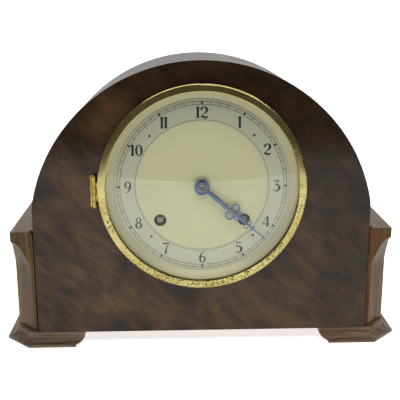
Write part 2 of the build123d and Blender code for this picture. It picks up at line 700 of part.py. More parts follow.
GOING_AT = (WINDING_X, WINDING_Z)
SECOND_AT = third_corner(GOING_AT, GREAT_TO_SECOND, CENTRE, SECOND_TO_CENTRE, -1)
THIRD_AT = polar(CENTRE, CENTRE_TO_THIRD, 60)
ESCAPE_AT = (0.0, THIRD_AT[1] + sqrt(THIRD_TO_ESCAPE ** 2 - THIRD_AT[0] ** 2))
ANCHOR_AT = (0.0, PENDULUM_PIVOT_Z)
STRIKE_AT = (-WINDING_X, WINDING_Z)
PIN_WHEEL_AT = polar(STRIKE_AT, GREAT_TO_SECOND, 97)
STRIKE_THIRD_AT = polar(PIN_WHEEL_AT, SECOND_TO_CENTRE, 60)
WARNING_AT = polar(STRIKE_THIRD_AT, STRIKE_THIRD_TO_WARNING, 20)
FLY_AT = polar(WARNING_AT, WARNING_TO_FLY, 100)
HAMMER_AT = (-44.0, 86.0)

BARREL_FRONT = 20.4
BARREL_BACK = 38.0
BARREL_RIM_T = 2.0          # thickness of the barrel's toothed rim
BARREL_WALL = 1.2
BARREL_ARBOR_R = 3.0
SPRING_TURNS = 5.5
SPRING_T = 0.7
SPRING_IN_R = 8.0
SQUARE_SIDE = 4.0
SQUARE_FRONT = DIAL_Y + 1.4
SQUARE_BACK = FRONT_PLATE_Y - 1.0
RATCHET_TEETH = 24
RATCHET_R = 9.0
RATCHET_TOOTH_H = 1.3
RATCHET_T = 1.8
RATCHET_Y = BACK_PLATE_Y + PLATE_T + 0.4
CLICK_PIVOT = (11.5, 8.0)   # from the centre of its barrel
CLICK_TAIL = (2.6, 0.8)     # from its pivot
CLICK_EYE_R = 2.4
CLICK_T = 1.6


def make_barrel(centre, phase):
    """A toothed drum with a closed front end and a snapped-in cap, open for the arbor."""
    bore = BARREL_ARBOR_R + PIVOT_GAP
    drum = disc(BARREL_R, BARREL_FRONT - 0.01, BARREL_BACK, centre)
    drum += slab(gear_sketch(*GREAT, phase, centre), BARREL_FRONT - BARREL_RIM_T, BARREL_FRONT)
    drum -= disc(BARREL_R - BARREL_WALL, BARREL_FRONT, BARREL_BACK - BARREL_WALL, centre)
    return drum - disc(bore, BARREL_FRONT - 2 * BARREL_RIM_T, BARREL_BACK + 1, centre)


def make_mainspring(centre):
    """The coiled spring, let down: wound against the wall of the barrel."""
    grow = BARREL_R - BARREL_WALL - 0.6 - SPRING_T - SPRING_IN_R
    steps = int(SPRING_TURNS * 12)
    inner, outer = [], []
    for i in range(steps + 1):
        share = i / steps
        radius = SPRING_IN_R + grow * share
        angle = 360 * SPRING_TURNS * share
        inner.append(polar(centre, radius, angle))
        outer.append(polar(centre, radius + SPRING_T, angle))
    ribbon = make_face(Polyline(*(inner + outer[::-1]), close=True))
    return slab(ribbon, BARREL_FRONT + 1.0, BARREL_BACK - BARREL_WALL - 1.0)


def make_barrel_arbor(centre):
    """Winding arbor: square front end for the key, plain middle, ratchet wheel at the back."""
    x, z = centre
    body = disc(BARREL_ARBOR_R, SQUARE_BACK, RATCHET_Y + RATCHET_T + 0.8, centre)
    body += Pos(x, (SQUARE_BACK + SQUARE_FRONT) / 2, z) * Box(
        SQUARE_SIDE, SQUARE_BACK - SQUARE_FRONT, SQUARE_SIDE)
    points = []
    step = 360 / RATCHET_TEETH
    for i in range(RATCHET_TEETH):
        points.append(polar(centre, RATCHET_R - RATCHET_TOOTH_H, 90 + i * step + 0.5))
        points.append(polar(centre, RATCHET_R, 90 + i * step))
    ratchet = make_face(Polyline(*points, close=True))
    return body + slab(ratchet, RATCHET_Y, RATCHET_Y + RATCHET_T)


def make_click(centre):
    """The pawl that stops the ratchet: a flat lever whose nose stands just clear of a tooth."""
    pivot = (centre[0] + CLICK_PIVOT[0], centre[1] + CLICK_PIVOT[1])
    tail = (pivot[0] + CLICK_TAIL[0], pivot[1] + CLICK_TAIL[1])
    half_tooth = 180 / RATCHET_TEETH
    nose = polar(centre, RATCHET_R - 0.45, 90 - half_tooth)
    sketch = bar(pivot, tail, 1.33 * CLICK_EYE_R) + Pos(*pivot) * Circle(CLICK_EYE_R)
    sketch += make_face(Polyline(
        (nose[0] - 0.1, nose[1] + 0.55), (nose[0] + 0.9, nose[1] + 1.7),
        (pivot[0] - 0.6, pivot[1] + 2.2), (pivot[0] - 0.4, pivot[1] - 0.9), close=True))
    sketch -= Pos(*pivot) * Circle(CLICK_STUD_R + PIVOT_GAP)
    return slab(sketch, RATCHET_Y, RATCHET_Y + CLICK_T), pivot


GREAT_PHASE = 90.0
SECOND_PHASE = mesh_phase(GREAT[0], GREAT_PHASE, GOING_AT, SECOND_PINION, SECOND_AT)
CENTRE_PHASE = mesh_phase(SECOND[0], SECOND_PHASE, SECOND_AT, CENTRE_PINION, CENTRE)
THIRD_PHASE = mesh_phase(CENTRE_WHEEL[0], CENTRE_PHASE, CENTRE, THIRD_PINION, THIRD_AT)
ESCAPE_PHASE = mesh_phase(THIRD[0], THIRD_PHASE, THIRD_AT, ESCAPE_PINION, ESCAPE_AT)
PIN_PHASE = mesh_phase(GREAT[0], GREAT_PHASE, STRIKE_AT, SECOND_PINION, PIN_WHEEL_AT)
STRIKE_THIRD_PHASE = mesh_phase(SECOND[0], PIN_PHASE, PIN_WHEEL_AT, CENTRE_PINION,
                                STRIKE_THIRD_AT)
WARNING_PHASE = mesh_phase(STRIKE_THIRD[0], STRIKE_THIRD_PHASE, STRIKE_THIRD_AT, WARNING_PINION,
                           WARNING_AT)
FLY_PHASE = mesh_phase(WARNING[0], WARNING_PHASE, WARNING_AT, FLY_PINION, FLY_AT)

# Depth of each wheel's front face, and of the front and back of each pinion.
SECOND_Y = 41.0
CENTRE_Y = 36.0
WARNING_Y = 33.4
THIRD_Y = 30.0
ESCAPE_Y = 24.0
SECOND_PINION_YS = (17.4, 21.0)
CENTRE_PINION_YS = (CENTRE_Y + WHEEL_T, 43.6)
STRIKE_THIRD_PINION_YS = (39.8, 43.6)
THIRD_PINION_YS = (35.0, 38.4)
ESCAPE_PINION_YS = (29.4, 31.8)
WARNING_PINION_YS = (28.6, 31.6)
FLY_PINION_YS = (32.8, 35.2)


def make_second_wheel(centre, phase):
    """The wheel above a barrel; its pinion runs with the barrel's teeth."""
    piece = arbor(centre) + pinion(SECOND_PINION, GREAT[1], phase, centre, *SECOND_PINION_YS)
    return piece + wheel(*SECOND, phase, centre, SECOND_Y)


def make_centre_wheel():
    """Centre wheel and its pinion, riding on the centre arbor with a friction spring."""
    piece = wheel(*CENTRE_WHEEL, CENTRE_PHASE, CENTRE, CENTRE_Y)
    piece += pinion(CENTRE_PINION, SECOND[1], CENTRE_PHASE, CENTRE, *CENTRE_PINION_YS)
    piece += disc(HUB_R, CENTRE_Y - COLLET_L, CENTRE_Y)
    return piece - disc(CENTRE_ARBOR_R + PIVOT_GAP, CENTRE_Y - COLLET_L - 1, BACK_PLATE_Y - 1)


def make_centre_arbor():
    """Arbor that carries the minute hand; the centre wheel drives it through a dished spring."""
    rod = disc(CENTRE_ARBOR_R, MINUTE_Y - 3.4, BACK_PLATE_Y + PLATE_T + PIVOT_OUT)
    collar_back = CENTRE_Y - COLLET_L - KNUCKLE_GAP
    return rod + disc(COLLAR_R, collar_back - 2.7, collar_back)


def make_third_wheel():
    """The wheel between the centre wheel and the escape wheel."""
    piece = arbor(THIRD_AT)
    piece += pinion(THIRD_PINION, CENTRE_WHEEL[1], THIRD_PHASE, THIRD_AT, *THIRD_PINION_YS)
    return piece + wheel(*THIRD, THIRD_PHASE, THIRD_AT, THIRD_Y, 0.8 * HUB_R, THIN_WHEEL_T)


def make_escape_wheel():
    """Escape wheel with thirty raked teeth, and its pinion."""
    points = []
    step = 360 / ESCAPE_TEETH
    for i in range(ESCAPE_TEETH):
        tip = 90 + (i + 0.5) * step
        points.append(polar(ESCAPE_AT, ESCAPE_R - ESCAPE_TOOTH_H, tip - 0.30 * step))
        points.append(polar(ESCAPE_AT, ESCAPE_R, tip))
        points.append(polar(ESCAPE_AT, ESCAPE_R, tip + 0.07 * step))
        points.append(polar(ESCAPE_AT, ESCAPE_R - ESCAPE_TOOTH_H, tip + 0.15 * step))
    sketch = make_face(Polyline(*points, close=True))
    for hole in crossings(ESCAPE_AT, 2.2, ESCAPE_R - ESCAPE_TOOTH_H - 1.4, SPOKES, 45):
        sketch -= hole
    piece = slab(sketch, ESCAPE_Y, ESCAPE_Y + 1.0) + arbor(ESCAPE_AT)
    return piece + pinion(ESCAPE_PINION, THIRD[1], ESCAPE_PHASE, ESCAPE_AT, *ESCAPE_PINION_YS)


CRUTCH_Y = 51.0
CRUTCH_T = 1.2
CRUTCH_L = 30.0
CRUTCH_W = 1.8
FORK_GAP = 1.5              # from the pendulum's middle to the inside of each fork cheek
FORK_T = 0.8
FORK_H = 2.4
PALLET_REACH = 9.4          # the arms' elbows, to each side of and below the anchor's axis
PALLET_DROP = 4.2


def make_anchor():
    """Pallet arbor with its two arms, and the crutch that passes the beat to the pendulum."""
    axis_z = ANCHOR_AT[1]
    sketch = Pos(*ANCHOR_AT) * Circle(2.2)
    for side in (-1, 1):
        elbow = (side * PALLET_REACH, axis_z - PALLET_DROP)
        sketch += bar(ANCHOR_AT, elbow, 1.9)
        sketch += make_face(Polyline(
            (elbow[0] - side * 0.9, elbow[1] + 0.4), (elbow[0] + side * 0.9, elbow[1] + 0.2),
            (side * 9.0, ESCAPE_AT[1] + 6.0), (side * 8.2, ESCAPE_AT[1] + 6.4), close=True))
    piece = slab(sketch, ESCAPE_Y - 0.4, ESCAPE_Y + 1.4)
    piece += arbor(ANCHOR_AT, back=CRUTCH_Y + CRUTCH_T)
    piece += slab(bar(ANCHOR_AT, (0, axis_z - CRUTCH_L), CRUTCH_W), CRUTCH_Y, CRUTCH_Y + CRUTCH_T)
    fork_z = axis_z - CRUTCH_L + 0.4
    cheek_x = FORK_GAP + FORK_T / 2
    for side in (-1, 1):
        piece += Pos(side * cheek_x, PENDULUM_Y - 2.4, fork_z) * Box(FORK_T, 7.6, FORK_H)
    return piece + Pos(0, CRUTCH_Y + CRUTCH_T / 2, fork_z) * Box(
        2 * (FORK_GAP + FORK_T), CRUTCH_T, FORK_H)


def make_pendulum():
    """Rod with its suspension spring and chops, the lens-shaped bob, and the rating nut."""
    rod_top = PENDULUM_PIVOT_Z - 6.0
    rod_foot = BOB_Z - BOB_R - 6.0
    rod = Pos(0, PENDULUM_Y, (rod_top + rod_foot) / 2) * Cylinder(
        PENDULUM_ROD_R, rod_top - rod_foot)
    spring = Pos(0, PENDULUM_Y, PENDULUM_PIVOT_Z - 1.5) * Box(3.0, 0.4, 11.0)
    chops = Pos(0, PENDULUM_Y, rod_top - 0.5) * Box(5.0, 2.8, 4.0)
    face = [(BOB_R * sin(radians(a)), BOB_HALF_T * cos(radians(a))) for a in (30, 55, 75)]
    outline = [(0, PENDULUM_Y - BOB_HALF_T)]
    outline += [(radius, PENDULUM_Y - depth) for radius, depth in face]
    outline += [(BOB_R, PENDULUM_Y - BOB_EDGE), (BOB_R, PENDULUM_Y + BOB_EDGE)]
    outline += [(radius, PENDULUM_Y + depth) for radius, depth in reversed(face)]
    outline += [(0, PENDULUM_Y + BOB_HALF_T)]
    bob = turned(outline, (0, BOB_Z))
    bob -= Pos(0, PENDULUM_Y, BOB_Z) * Cylinder(PENDULUM_ROD_R, 4 * BOB_R)
    nut_at = Pos(0, PENDULUM_Y, BOB_Z - BOB_R - 0.6 - RATING_NUT_H / 2)
    nut = nut_at * Cylinder(RATING_NUT_R, RATING_NUT_H)
    nut -= nut_at * Cylinder(PENDULUM_ROD_R + PIVOT_GAP, 2 * RATING_NUT_H)
    return rod + spring + chops, bob, nut


def make_suspension_cock():
    """A brass bracket on the back plate; its slot holds the top of the suspension spring."""
    top = PENDULUM_PIVOT_Z + 8.0
    plate_back = BACK_PLATE_Y + PLATE_T
    arm_end = PENDULUM_Y + 3.0
    foot = Pos(0, plate_back + 1.0, top) * Box(12.0, 2.0, 8.0)
    arm = Pos(0, (plate_back + arm_end) / 2, top) * Box(6.0, arm_end - plate_back, 6.0)
    slot = Pos(0, PENDULUM_Y, top - 3.0) * Box(8.0, 1.1, 4.0)
    return foot + arm - slot


# ---- strike train pieces ------------------------------------------------------------------
LIFT_PINS = 8
LIFT_PIN_CIRCLE_R = 15.6
LIFT_PIN_R = 0.6


def make_pin_wheel():
    """Pin wheel: eight pins in front of its rim lift the hammer tail."""
    piece = make_second_wheel(PIN_WHEEL_AT, PIN_PHASE)
    for i in range(LIFT_PINS):
        at = polar(PIN_WHEEL_AT, LIFT_PIN_CIRCLE_R, i * 360 / LIFT_PINS)
        piece += disc(LIFT_PIN_R, SECOND_Y - 1.6, SECOND_Y + 0.1, at)
    return piece


def make_strike_third_wheel():
    """The wheel driven by the pin wheel."""
    piece = arbor(STRIKE_THIRD_AT) + pinion(
        CENTRE_PINION, SECOND[1], STRIKE_THIRD_PHASE, STRIKE_THIRD_AT, *STRIKE_THIRD_PINION_YS)
    return piece + wheel(*STRIKE_THIRD, STRIKE_THIRD_PHASE, STRIKE_THIRD_AT, THIRD_Y,
                         thickness=THIN_WHEEL_T)


def make_warning_wheel():
    """The wheel that is held back before the strike, next to the fly."""
    piece = arbor(WARNING_AT) + pinion(
        WARNING_PINION, STRIKE_THIRD[1], WARNING_PHASE, WARNING_AT, *WARNING_PINION_YS)
    return piece + wheel(*WARNING, WARNING_PHASE, WARNING_AT, WARNING_Y, 2.2, 1.0)


FLY_SPAN = 13.0
FLY_DEPTH = 7.0
FLY_Y = 40.0                # middle of the fly's blade
FLY_T = 0.6


def make_fly():
    """A sheet-metal air brake on the last arbor of the strike train."""
    piece = arbor(FLY_AT) + pinion(FLY_PINION, WARNING[1], FLY_PHASE, FLY_AT, *FLY_PINION_YS)
    piece += Pos(FLY_AT[0], FLY_Y, FLY_AT[1]) * Box(FLY_SPAN, FLY_DEPTH, FLY_T)
    return piece + disc(1.5, FLY_Y - FLY_DEPTH / 2 - 0.1, FLY_Y + FLY_DEPTH / 2 + 0.1, FLY_AT)


HAMMER_Y = BACK_PLATE_Y + PLATE_T + 3.0
HAMMER_HEAD = (-66.0, 32.0)
HAMMER_HEAD_SIDE = 7.0
HAMMER_TAIL = (-47.0, 110.0)
ROD_Z = 26.0
ROD_YS = (56.0, 63.0, 70.0)
ROD_R = 1.6
ROD_LENGTHS = (176.0, 164.0, 152.0)
ROD_END_X = -112.0
GONG_X = -104.0
GONG_SIZE = (16.0, 26.0, 24.0)


def make_hammer():
    """Hammer arbor, bent arm and a bar head that falls on all the gong rods together."""
    head_back = ROD_YS[-1] + 4.0
    piece = disc(STUD_R, BACK_PLATE_Y - 8.0, HAMMER_Y + 2.0, HAMMER_AT)
    piece += slab(bar(HAMMER_AT, HAMMER_HEAD, 2.6), HAMMER_Y, HAMMER_Y + 1.6)
    piece += Pos(HAMMER_HEAD[0], (HAMMER_Y + head_back) / 2, HAMMER_HEAD[1]) * Box(
        HAMMER_HEAD_SIDE, head_back - HAMMER_Y, HAMMER_HEAD_SIDE)
    return piece + slab(bar(HAMMER_AT, HAMMER_TAIL, 2.0), SECOND_Y - 1.8, SECOND_Y - 0.4)


def make_gong():
    """Cast block on the base board, holding three straight rods that reach across the case."""
    floor = PANEL_BOTTOM + BASE_T
    block = Pos(GONG_X, ROD_YS[1], floor + GONG_SIZE[2] / 2) * Box(*GONG_SIZE)
    block = fillet(block.edges().filter_by(Axis.Z), 3.0)
    rods = []
    for y, length in zip(ROD_YS, ROD_LENGTHS):
        shank = Pos(ROD_END_X + length / 2, y, ROD_Z) * Rot(0, 90, 0) * Cylinder(ROD_R, length)
        rods.append(shank)
        block -= shank
    return block, rods


# ---- motion work and rack -----------------------------------------------------------------
CANNON = (20, 0.45)
MINUTE_WHEEL = 60
MINUTE_PINION = 15
HOUR_MODULE = 0.48
HOUR_WHEEL = 60
MINUTE_WHEEL_AT = (0.0, DIAL_Z + (CANNON[0] + MINUTE_WHEEL) * CANNON[1] / 2)
CANNON_PHASE = 90.0
MINUTE_WHEEL_PHASE = mesh_phase(CANNON[0], CANNON_PHASE, CENTRE, MINUTE_WHEEL, MINUTE_WHEEL_AT)
HOUR_PHASE = mesh_phase(MINUTE_PINION, MINUTE_WHEEL_PHASE, MINUTE_WHEEL_AT, HOUR_WHEEL, CENTRE)


# Front and back of each wheel between the dial and the front plate.
CANNON_YS = (11.8, 13.4)
MINUTE_WHEEL_YS = (11.9, 13.2)
MINUTE_PINION_YS = (8.2, 12.0)
HOUR_WHEEL_YS = (9.4, 10.8)
SNAIL_FRONT = 7.6
SNAIL_R = 12.5
SNAIL_STEP = 0.6            # drop of the snail from each hour to the next
RACK_YS = (8.4, 9.8)
STUD_FRONT = 7.4


def make_cannon_pinion():
    """Pinion and pipe pressed on the centre arbor; the minute hand sits on the pipe's end."""
    pipe = disc(CANNON_PIPE_R, MINUTE_Y + HAND_T, CANNON_YS[0] + 0.4)
    pipe += pinion(*CANNON, CANNON_PHASE, CENTRE, *CANNON_YS)
    return pipe - disc(CENTRE_ARBOR_R + 0.02, MINUTE_Y - 1, FRONT_PLATE_Y)


def make_minute_wheel():
    """The pair of wheels on a stud that slow the cannon's turn for the hour wheel."""
    piece = slab(gear_sketch(MINUTE_WHEEL, CANNON[1], MINUTE_WHEEL_PHASE, MINUTE_WHEEL_AT),
                 *MINUTE_WHEEL_YS)
    piece += pinion(MINUTE_PINION, HOUR_MODULE, MINUTE_WHEEL_PHASE, MINUTE_WHEEL_AT,
                    *MINUTE_PINION_YS)
    return piece - disc(STUD_R + PIVOT_GAP, STUD_FRONT, FRONT_PLATE_Y, MINUTE_WHEEL_AT)


def make_hour_wheel():
    """Hour wheel, its pipe to the hour hand, and the twelve-step snail for the rack."""
    front, back = HOUR_WHEEL_YS
    piece = slab(gear_sketch(HOUR_WHEEL, HOUR_MODULE, HOUR_PHASE, CENTRE), front, back)
    points = []
    for hour in range(12):
        radius = SNAIL_R - SNAIL_STEP * hour
        for part in (0.0, 0.5, 1.0):
            points.append(polar(CENTRE, radius, 150 - (hour + part) * 30))
    piece += slab(make_face(Polyline(*points, close=True)), SNAIL_FRONT, front)
    piece += disc(HOUR_PIPE_R, HOUR_Y + HAND_T, front)
    return piece - disc(CANNON_PIPE_R + PIVOT_GAP, HOUR_Y - 1, back + 1)


RACK_AT = (-44.0, 92.0)
RACK_TOP = (-50.0, 138.0)
RACK_TEETH = 13
RACK_HALF_ANGLE = 13.0      # half the angle that the toothed segment fills


def make_rack():
    """Strike rack: a toothed segment on a long arm, pivoted low on the front plate."""
    sketch = bar(RACK_AT, RACK_TOP, 3.0) + Pos(*RACK_AT) * Circle(3.4)
    reach = hypot(RACK_TOP[0] - RACK_AT[0], RACK_TOP[1] - RACK_AT[1])
    middle = degrees(atan2(RACK_TOP[1] - RACK_AT[1], RACK_TOP[0] - RACK_AT[0]))
    points = [polar(RACK_AT, reach - 2.0, middle - RACK_HALF_ANGLE),
              polar(RACK_AT, reach - 2.0, middle + RACK_HALF_ANGLE)]
    for i in range(RACK_TEETH):
        angle = middle + RACK_HALF_ANGLE * (1 - 2 * i / RACK_TEETH)
        points.append(polar(RACK_AT, reach + 2.0, angle))
        points.append(polar(RACK_AT, reach + 0.6, angle - 1.6))
    sketch += make_face(Polyline(*points, close=True))
    sketch -= Pos(*RACK_AT) * Circle(STUD_R + PIVOT_GAP)
    return slab(sketch, *RACK_YS)


# ---- movement frame -----------------------------------------------------------------------
PILLAR_PLACES = [(-52.0, 82.0), (52.0, 82.0), (-52.0, 166.0), (52.0, 166.0)]
PILLAR_END_R = PILLAR_R - 1.0
PLATE_NUT_R = 4.4
PLATE_NUT_H = 2.2
strike_click, STRIKE_CLICK_AT = make_click(STRIKE_AT)
going_click, GOING_CLICK_AT = make_click(GOING_AT)


def make_plate(y, holes):
    """One of the two brass plates, with a round hole at each place given."""
    width = 2 * PLATE_HALF_W
    height = PLATE_HIGH - PLATE_LOW
    sketch = Pos(0, (PLATE_HIGH + PLATE_LOW) / 2) * RectangleRounded(width, height, 4.0)
    for (x, z), radius in holes:
        sketch -= Pos(x, z) * Circle(radius)
    return slab(sketch, y, y + PLATE_T)


SMALL_ARBORS = [SECOND_AT, THIRD_AT, ESCAPE_AT, ANCHOR_AT, PIN_WHEEL_AT, STRIKE_THIRD_AT,
                WARNING_AT, FLY_AT]
pivot_holes = [(at, ARBOR_R + PIVOT_GAP) for at in SMALL_ARBORS]
pivot_holes += [(at, BARREL_ARBOR_R + PIVOT_GAP) for at in (GOING_AT, STRIKE_AT)]
pivot_holes += [(CENTRE, CENTRE_ARBOR_R + PIVOT_GAP)]
pillar_holes = [(at, PILLAR_END_R) for at in PILLAR_PLACES]
hammer_hole = [(HAMMER_AT, STUD_R + PIVOT_GAP)]
front_plate = make_plate(FRONT_PLATE_Y, pivot_holes + pillar_holes)
back_plate = make_plate(BACK_PLATE_Y, pivot_holes + pillar_holes + hammer_hole)
for stud_at in (MINUTE_WHEEL_AT, RACK_AT):
    front_plate += disc(STUD_R, STUD_FRONT, FRONT_PLATE_Y + 0.1, stud_at)
for stud_at in (STRIKE_CLICK_AT, GOING_CLICK_AT):
    back_plate += disc(CLICK_STUD_R, BACK_PLATE_Y + PLATE_T - 0.1, RATCHET_Y + 2.2, stud_at)


def make_pillars():
    """Four turned pillars with shouldered ends that pass through the plates."""
    pillars = []
    for at in PILLAR_PLACES:
        body = disc(PILLAR_R, FRONT_PLATE_Y + PLATE_T, BACK_PLATE_Y, at)
        ends = disc(PILLAR_END_R, FRONT_PLATE_Y - PLATE_NUT_H - 0.2,
                    BACK_PLATE_Y + PLATE_T + PLATE_NUT_H + 0.2, at)
        pillars.append(body + ends)
    return pillars


def make_plate_nuts():
    """Hexagonal nuts that hold the plates on the pillars' ends."""
    nuts = []
    for at in PILLAR_PLACES:
        ring = Pos(*at) * (RegularPolygon(PLATE_NUT_R, 6) - Circle(PILLAR_END_R))
        nuts.append(slab(ring, FRONT_PLATE_Y - PLATE_NUT_H, FRONT_PLATE_Y))
        nuts.append(slab(ring, BACK_PLATE_Y + PLATE_T, BACK_PLATE_Y + PLATE_T + PLATE_NUT_H))
    return nuts


BRACKET_W = 14.0
BRACKET_T = 1.5
BRACKET_OUT = 92.0          # outer end of each strap
BRACKET_LUG_W = 12.0
BRACKET_Z = 115.0
PANEL_SCREW_X = 86.0
PLATE_SCREW_X = 55.0
STRAP_SCREW_R = 1.4
STRAP_SCREW_HEAD_R = 2.8
STRAP_SCREW_HEAD_H = 1.6


def make_brackets():
    """Two steel straps that hang the front plate from the back of the front panel."""
    plate_back = FRONT_PLATE_Y + PLATE_T
    x_in = PLATE_HALF_W - 4.0
    straps = []
    for side in (-1, 1):
        flat = Pos(side * (x_in + BRACKET_OUT) / 2, plate_back + BRACKET_T / 2, BRACKET_Z) * Box(
            BRACKET_OUT - x_in, BRACKET_T, BRACKET_W)
        lug = Pos(side * PANEL_SCREW_X, (PANEL_T + plate_back) / 2, BRACKET_Z) * Box(
            BRACKET_LUG_W, plate_back - PANEL_T, BRACKET_W)
        straps.append(flat + lug)
    return straps


def make_bracket_screws():
    """Two screws through each strap: one into the panel, one into the plate."""
    screws, holes = [], []
    seat = FRONT_PLATE_Y + PLATE_T + BRACKET_T
    for side in (-1, 1):
        for x, length in ((PANEL_SCREW_X, 10.0), (PLATE_SCREW_X, 3.4)):
            at = (side * x, BRACKET_Z)
            shank = disc(STRAP_SCREW_R, seat - length, seat, at)
            head = disc(STRAP_SCREW_HEAD_R, seat, seat + STRAP_SCREW_HEAD_H, at)
            slot = Pos(side * x, seat + STRAP_SCREW_HEAD_H - 0.2, BRACKET_Z) * Box(
                3 * STRAP_SCREW_HEAD_R, SLOT_W + 0.1, SLOT_W + 0.1)
            screws.append(shank + head - slot)
            holes.append(disc(STRAP_SCREW_R + HOLE_ROOM, seat - length - 0.2, seat + 1, at))
    return screws, holes


bracket_screws, bracket_holes = make_bracket_screws()
keep("front_panel", drilled(make_front_panel(), bracket_holes))
keep("movement_brackets", *[drilled(strap, bracket_holes) for strap in make_brackets()])
keep("case_screws", *foot_screws, *bracket_screws)
keep("front_plate", drilled(front_plate, bracket_holes))
keep("back_plate", back_plate)
keep("plate_pillars", *make_pillars())
keep("plate_nuts", *make_plate_nuts())
keep("suspension_cock", make_suspension_cock())

keep("centre_arbor_and_cannon", make_centre_arbor(), make_cannon_pinion())
keep("minute_wheel", make_minute_wheel())
keep("hour_wheel", make_hour_wheel())
keep("strike_rack", make_rack())

for side_name, at, click in (("going", GOING_AT, going_click), ("strike", STRIKE_AT, strike_click)):
    keep(side_name + "_barrel", make_barrel(at, GREAT_PHASE))
    keep(side_name + "_mainspring", make_mainspring(at))
    keep(side_name + "_winding_arbor", make_barrel_arbor(at))
    keep(side_name + "_click", click)
keep("going_second_wheel", make_second_wheel(SECOND_AT, SECOND_PHASE))
keep("strike_pin_wheel", make_pin_wheel())
keep("centre_wheel", make_centre_wheel())
keep("third_wheel", make_third_wheel())
keep("escape_wheel", make_escape_wheel())
keep("anchor", make_anchor())
pendulum_rod, pendulum_bob, rating_nut = make_pendulum()
keep("pendulum_rod", pendulum_rod)
keep("pendulum_bob", pendulum_bob)
keep("rating_nut", rating_nut)
keep("strike_third_wheel", make_strike_third_wheel())
keep("warning_wheel", make_warning_wheel())
keep("fly", make_fly())
keep("hammer", make_hammer())
gong_block, gong_rods = make_gong()
keep("gong_block", gong_block)
keep("gong_rods", *gong_rods)


# ---- back door ----------------------------------------------------------------------------
def make_door_hinge():
    """A small brass butt hinge laid on the back: one leaf on the frame, one on the door."""
    x, y = DOOR_HINGE_X, DOOR_HINGE_Y
    args = (DOOR_HINGE_Z, DOOR_HINGE_L, HINGE_COUNT)
    pitch = DOOR_HINGE_L / HINGE_COUNT
    leaves = []
    for side, first in ((-1, 0), (1, 1)):
        leaf_x = x + side * (DOOR_LEAF_W / 2 + 0.6)
        leaf = Pos(leaf_x, BACK_REAR + DOOR_LEAF_T / 2, DOOR_HINGE_Z) * Box(
            DOOR_LEAF_W, DOOR_LEAF_T, DOOR_HINGE_L)
        for other in range(1 - first, HINGE_COUNT, 2):
            low = DOOR_HINGE_Z - DOOR_HINGE_L / 2 + other * pitch
            leaf -= Pos(x, y, low + pitch / 2) * Cylinder(KNUCKLE_R + KNUCKLE_GAP, pitch)
        for tube in knuckles(x, y, *args, first):
            leaf += tube
        far = x + side * (KNUCKLE_R + 0.5)
        for tab in leaf_tabs(x, y, far, BACK_REAR, BACK_REAR + DOOR_LEAF_T, *args, first):
            leaf += tab
        leaves.append(leaf)
    return leaves[0], leaves[1], hinge_pin(x, y, DOOR_HINGE_Z, DOOR_HINGE_L)


def make_door_knob():
    """A turned brass pull near the free edge of the door."""
    at = (DOOR_HALF_W - 12.0, DOOR_HINGE_Z)
    return turned([(0, BACK_REAR), (3.4, BACK_REAR), (3.4, BACK_REAR + 0.8), (1.7, BACK_REAR + 1.6),
                   (1.7, BACK_REAR + 3.0), (3.6, BACK_REAR + 4.2), (3.9, BACK_REAR + 5.4),
                   (3.0, BACK_REAR + 6.6), (0, BACK_REAR + KNOB_L)], at)


frame_leaf, door_leaf, door_pin = make_door_hinge()
keep("back_frame", make_back_frame())
keep("back_door", slab(door_sketch(DOOR_GAP), BACK_FRONT, BACK_REAR))
keep("door_hinge_frame_leaf", frame_leaf)
keep("door_hinge_door_leaf", door_leaf)
keep("door_hinge_pin", door_pin)
keep("door_knob", make_door_knob())

os.makedirs("parts", exist_ok=True)
for name, shape in parts.items():
    export_step(shape, f"parts/{name}.step")
print(len(parts), "pieces written; origin moved by", round(ORIGIN_Y, 3), "mm")
for label, at in (("minute wheel", MINUTE_WHEEL_AT), ("second", SECOND_AT), ("third", THIRD_AT),
                  ("escape", ESCAPE_AT), ("pin wheel", PIN_WHEEL_AT),
                  ("strike third", STRIKE_THIRD_AT), ("warning", WARNING_AT), ("fly", FLY_AT),
                  ("going click", GOING_CLICK_AT), ("strike click", STRIKE_CLICK_AT)):
    print(label, "axis at x", round(at[0], 4), "z", round(at[1], 4))
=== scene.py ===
"""Looks for the arched mantel clock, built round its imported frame.

Metres, in the frame's own axes: X to the right as the dial is faced, Y to the back, Z up.
"""
import math

import bmesh
import bpy
from mathutils import Matrix, Vector


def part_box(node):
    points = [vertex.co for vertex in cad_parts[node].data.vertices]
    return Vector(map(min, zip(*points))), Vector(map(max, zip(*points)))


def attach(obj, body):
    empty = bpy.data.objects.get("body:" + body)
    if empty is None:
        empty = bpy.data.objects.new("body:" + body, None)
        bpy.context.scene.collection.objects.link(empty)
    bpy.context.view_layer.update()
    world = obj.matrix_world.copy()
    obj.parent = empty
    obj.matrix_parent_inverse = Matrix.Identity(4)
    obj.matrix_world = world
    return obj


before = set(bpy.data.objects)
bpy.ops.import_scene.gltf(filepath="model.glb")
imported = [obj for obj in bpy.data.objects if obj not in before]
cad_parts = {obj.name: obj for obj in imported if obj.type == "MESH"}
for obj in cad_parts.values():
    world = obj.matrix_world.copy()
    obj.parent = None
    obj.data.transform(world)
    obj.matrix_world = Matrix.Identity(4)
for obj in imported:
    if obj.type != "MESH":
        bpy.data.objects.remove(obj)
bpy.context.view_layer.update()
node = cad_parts


# ---- Front panel ----------------------------------------------------------------------------
# An arched board faced with one leaf of burr walnut, its figure running aslant across the dial
# hole, stained brown and sealed with a thick glossy varnish that has fine old scratches.
MM = 0.001


def shade(red, green, blue):
    """A colour given as it looks on paper, 0 to 255, turned into light."""
    parts = []
    for part in (red, green, blue):
        part /= 255
        parts.append(part / 12.92 if part <= 0.04045 else ((part + 0.055) / 1.055) ** 2.4)
    return (*parts, 1.0)


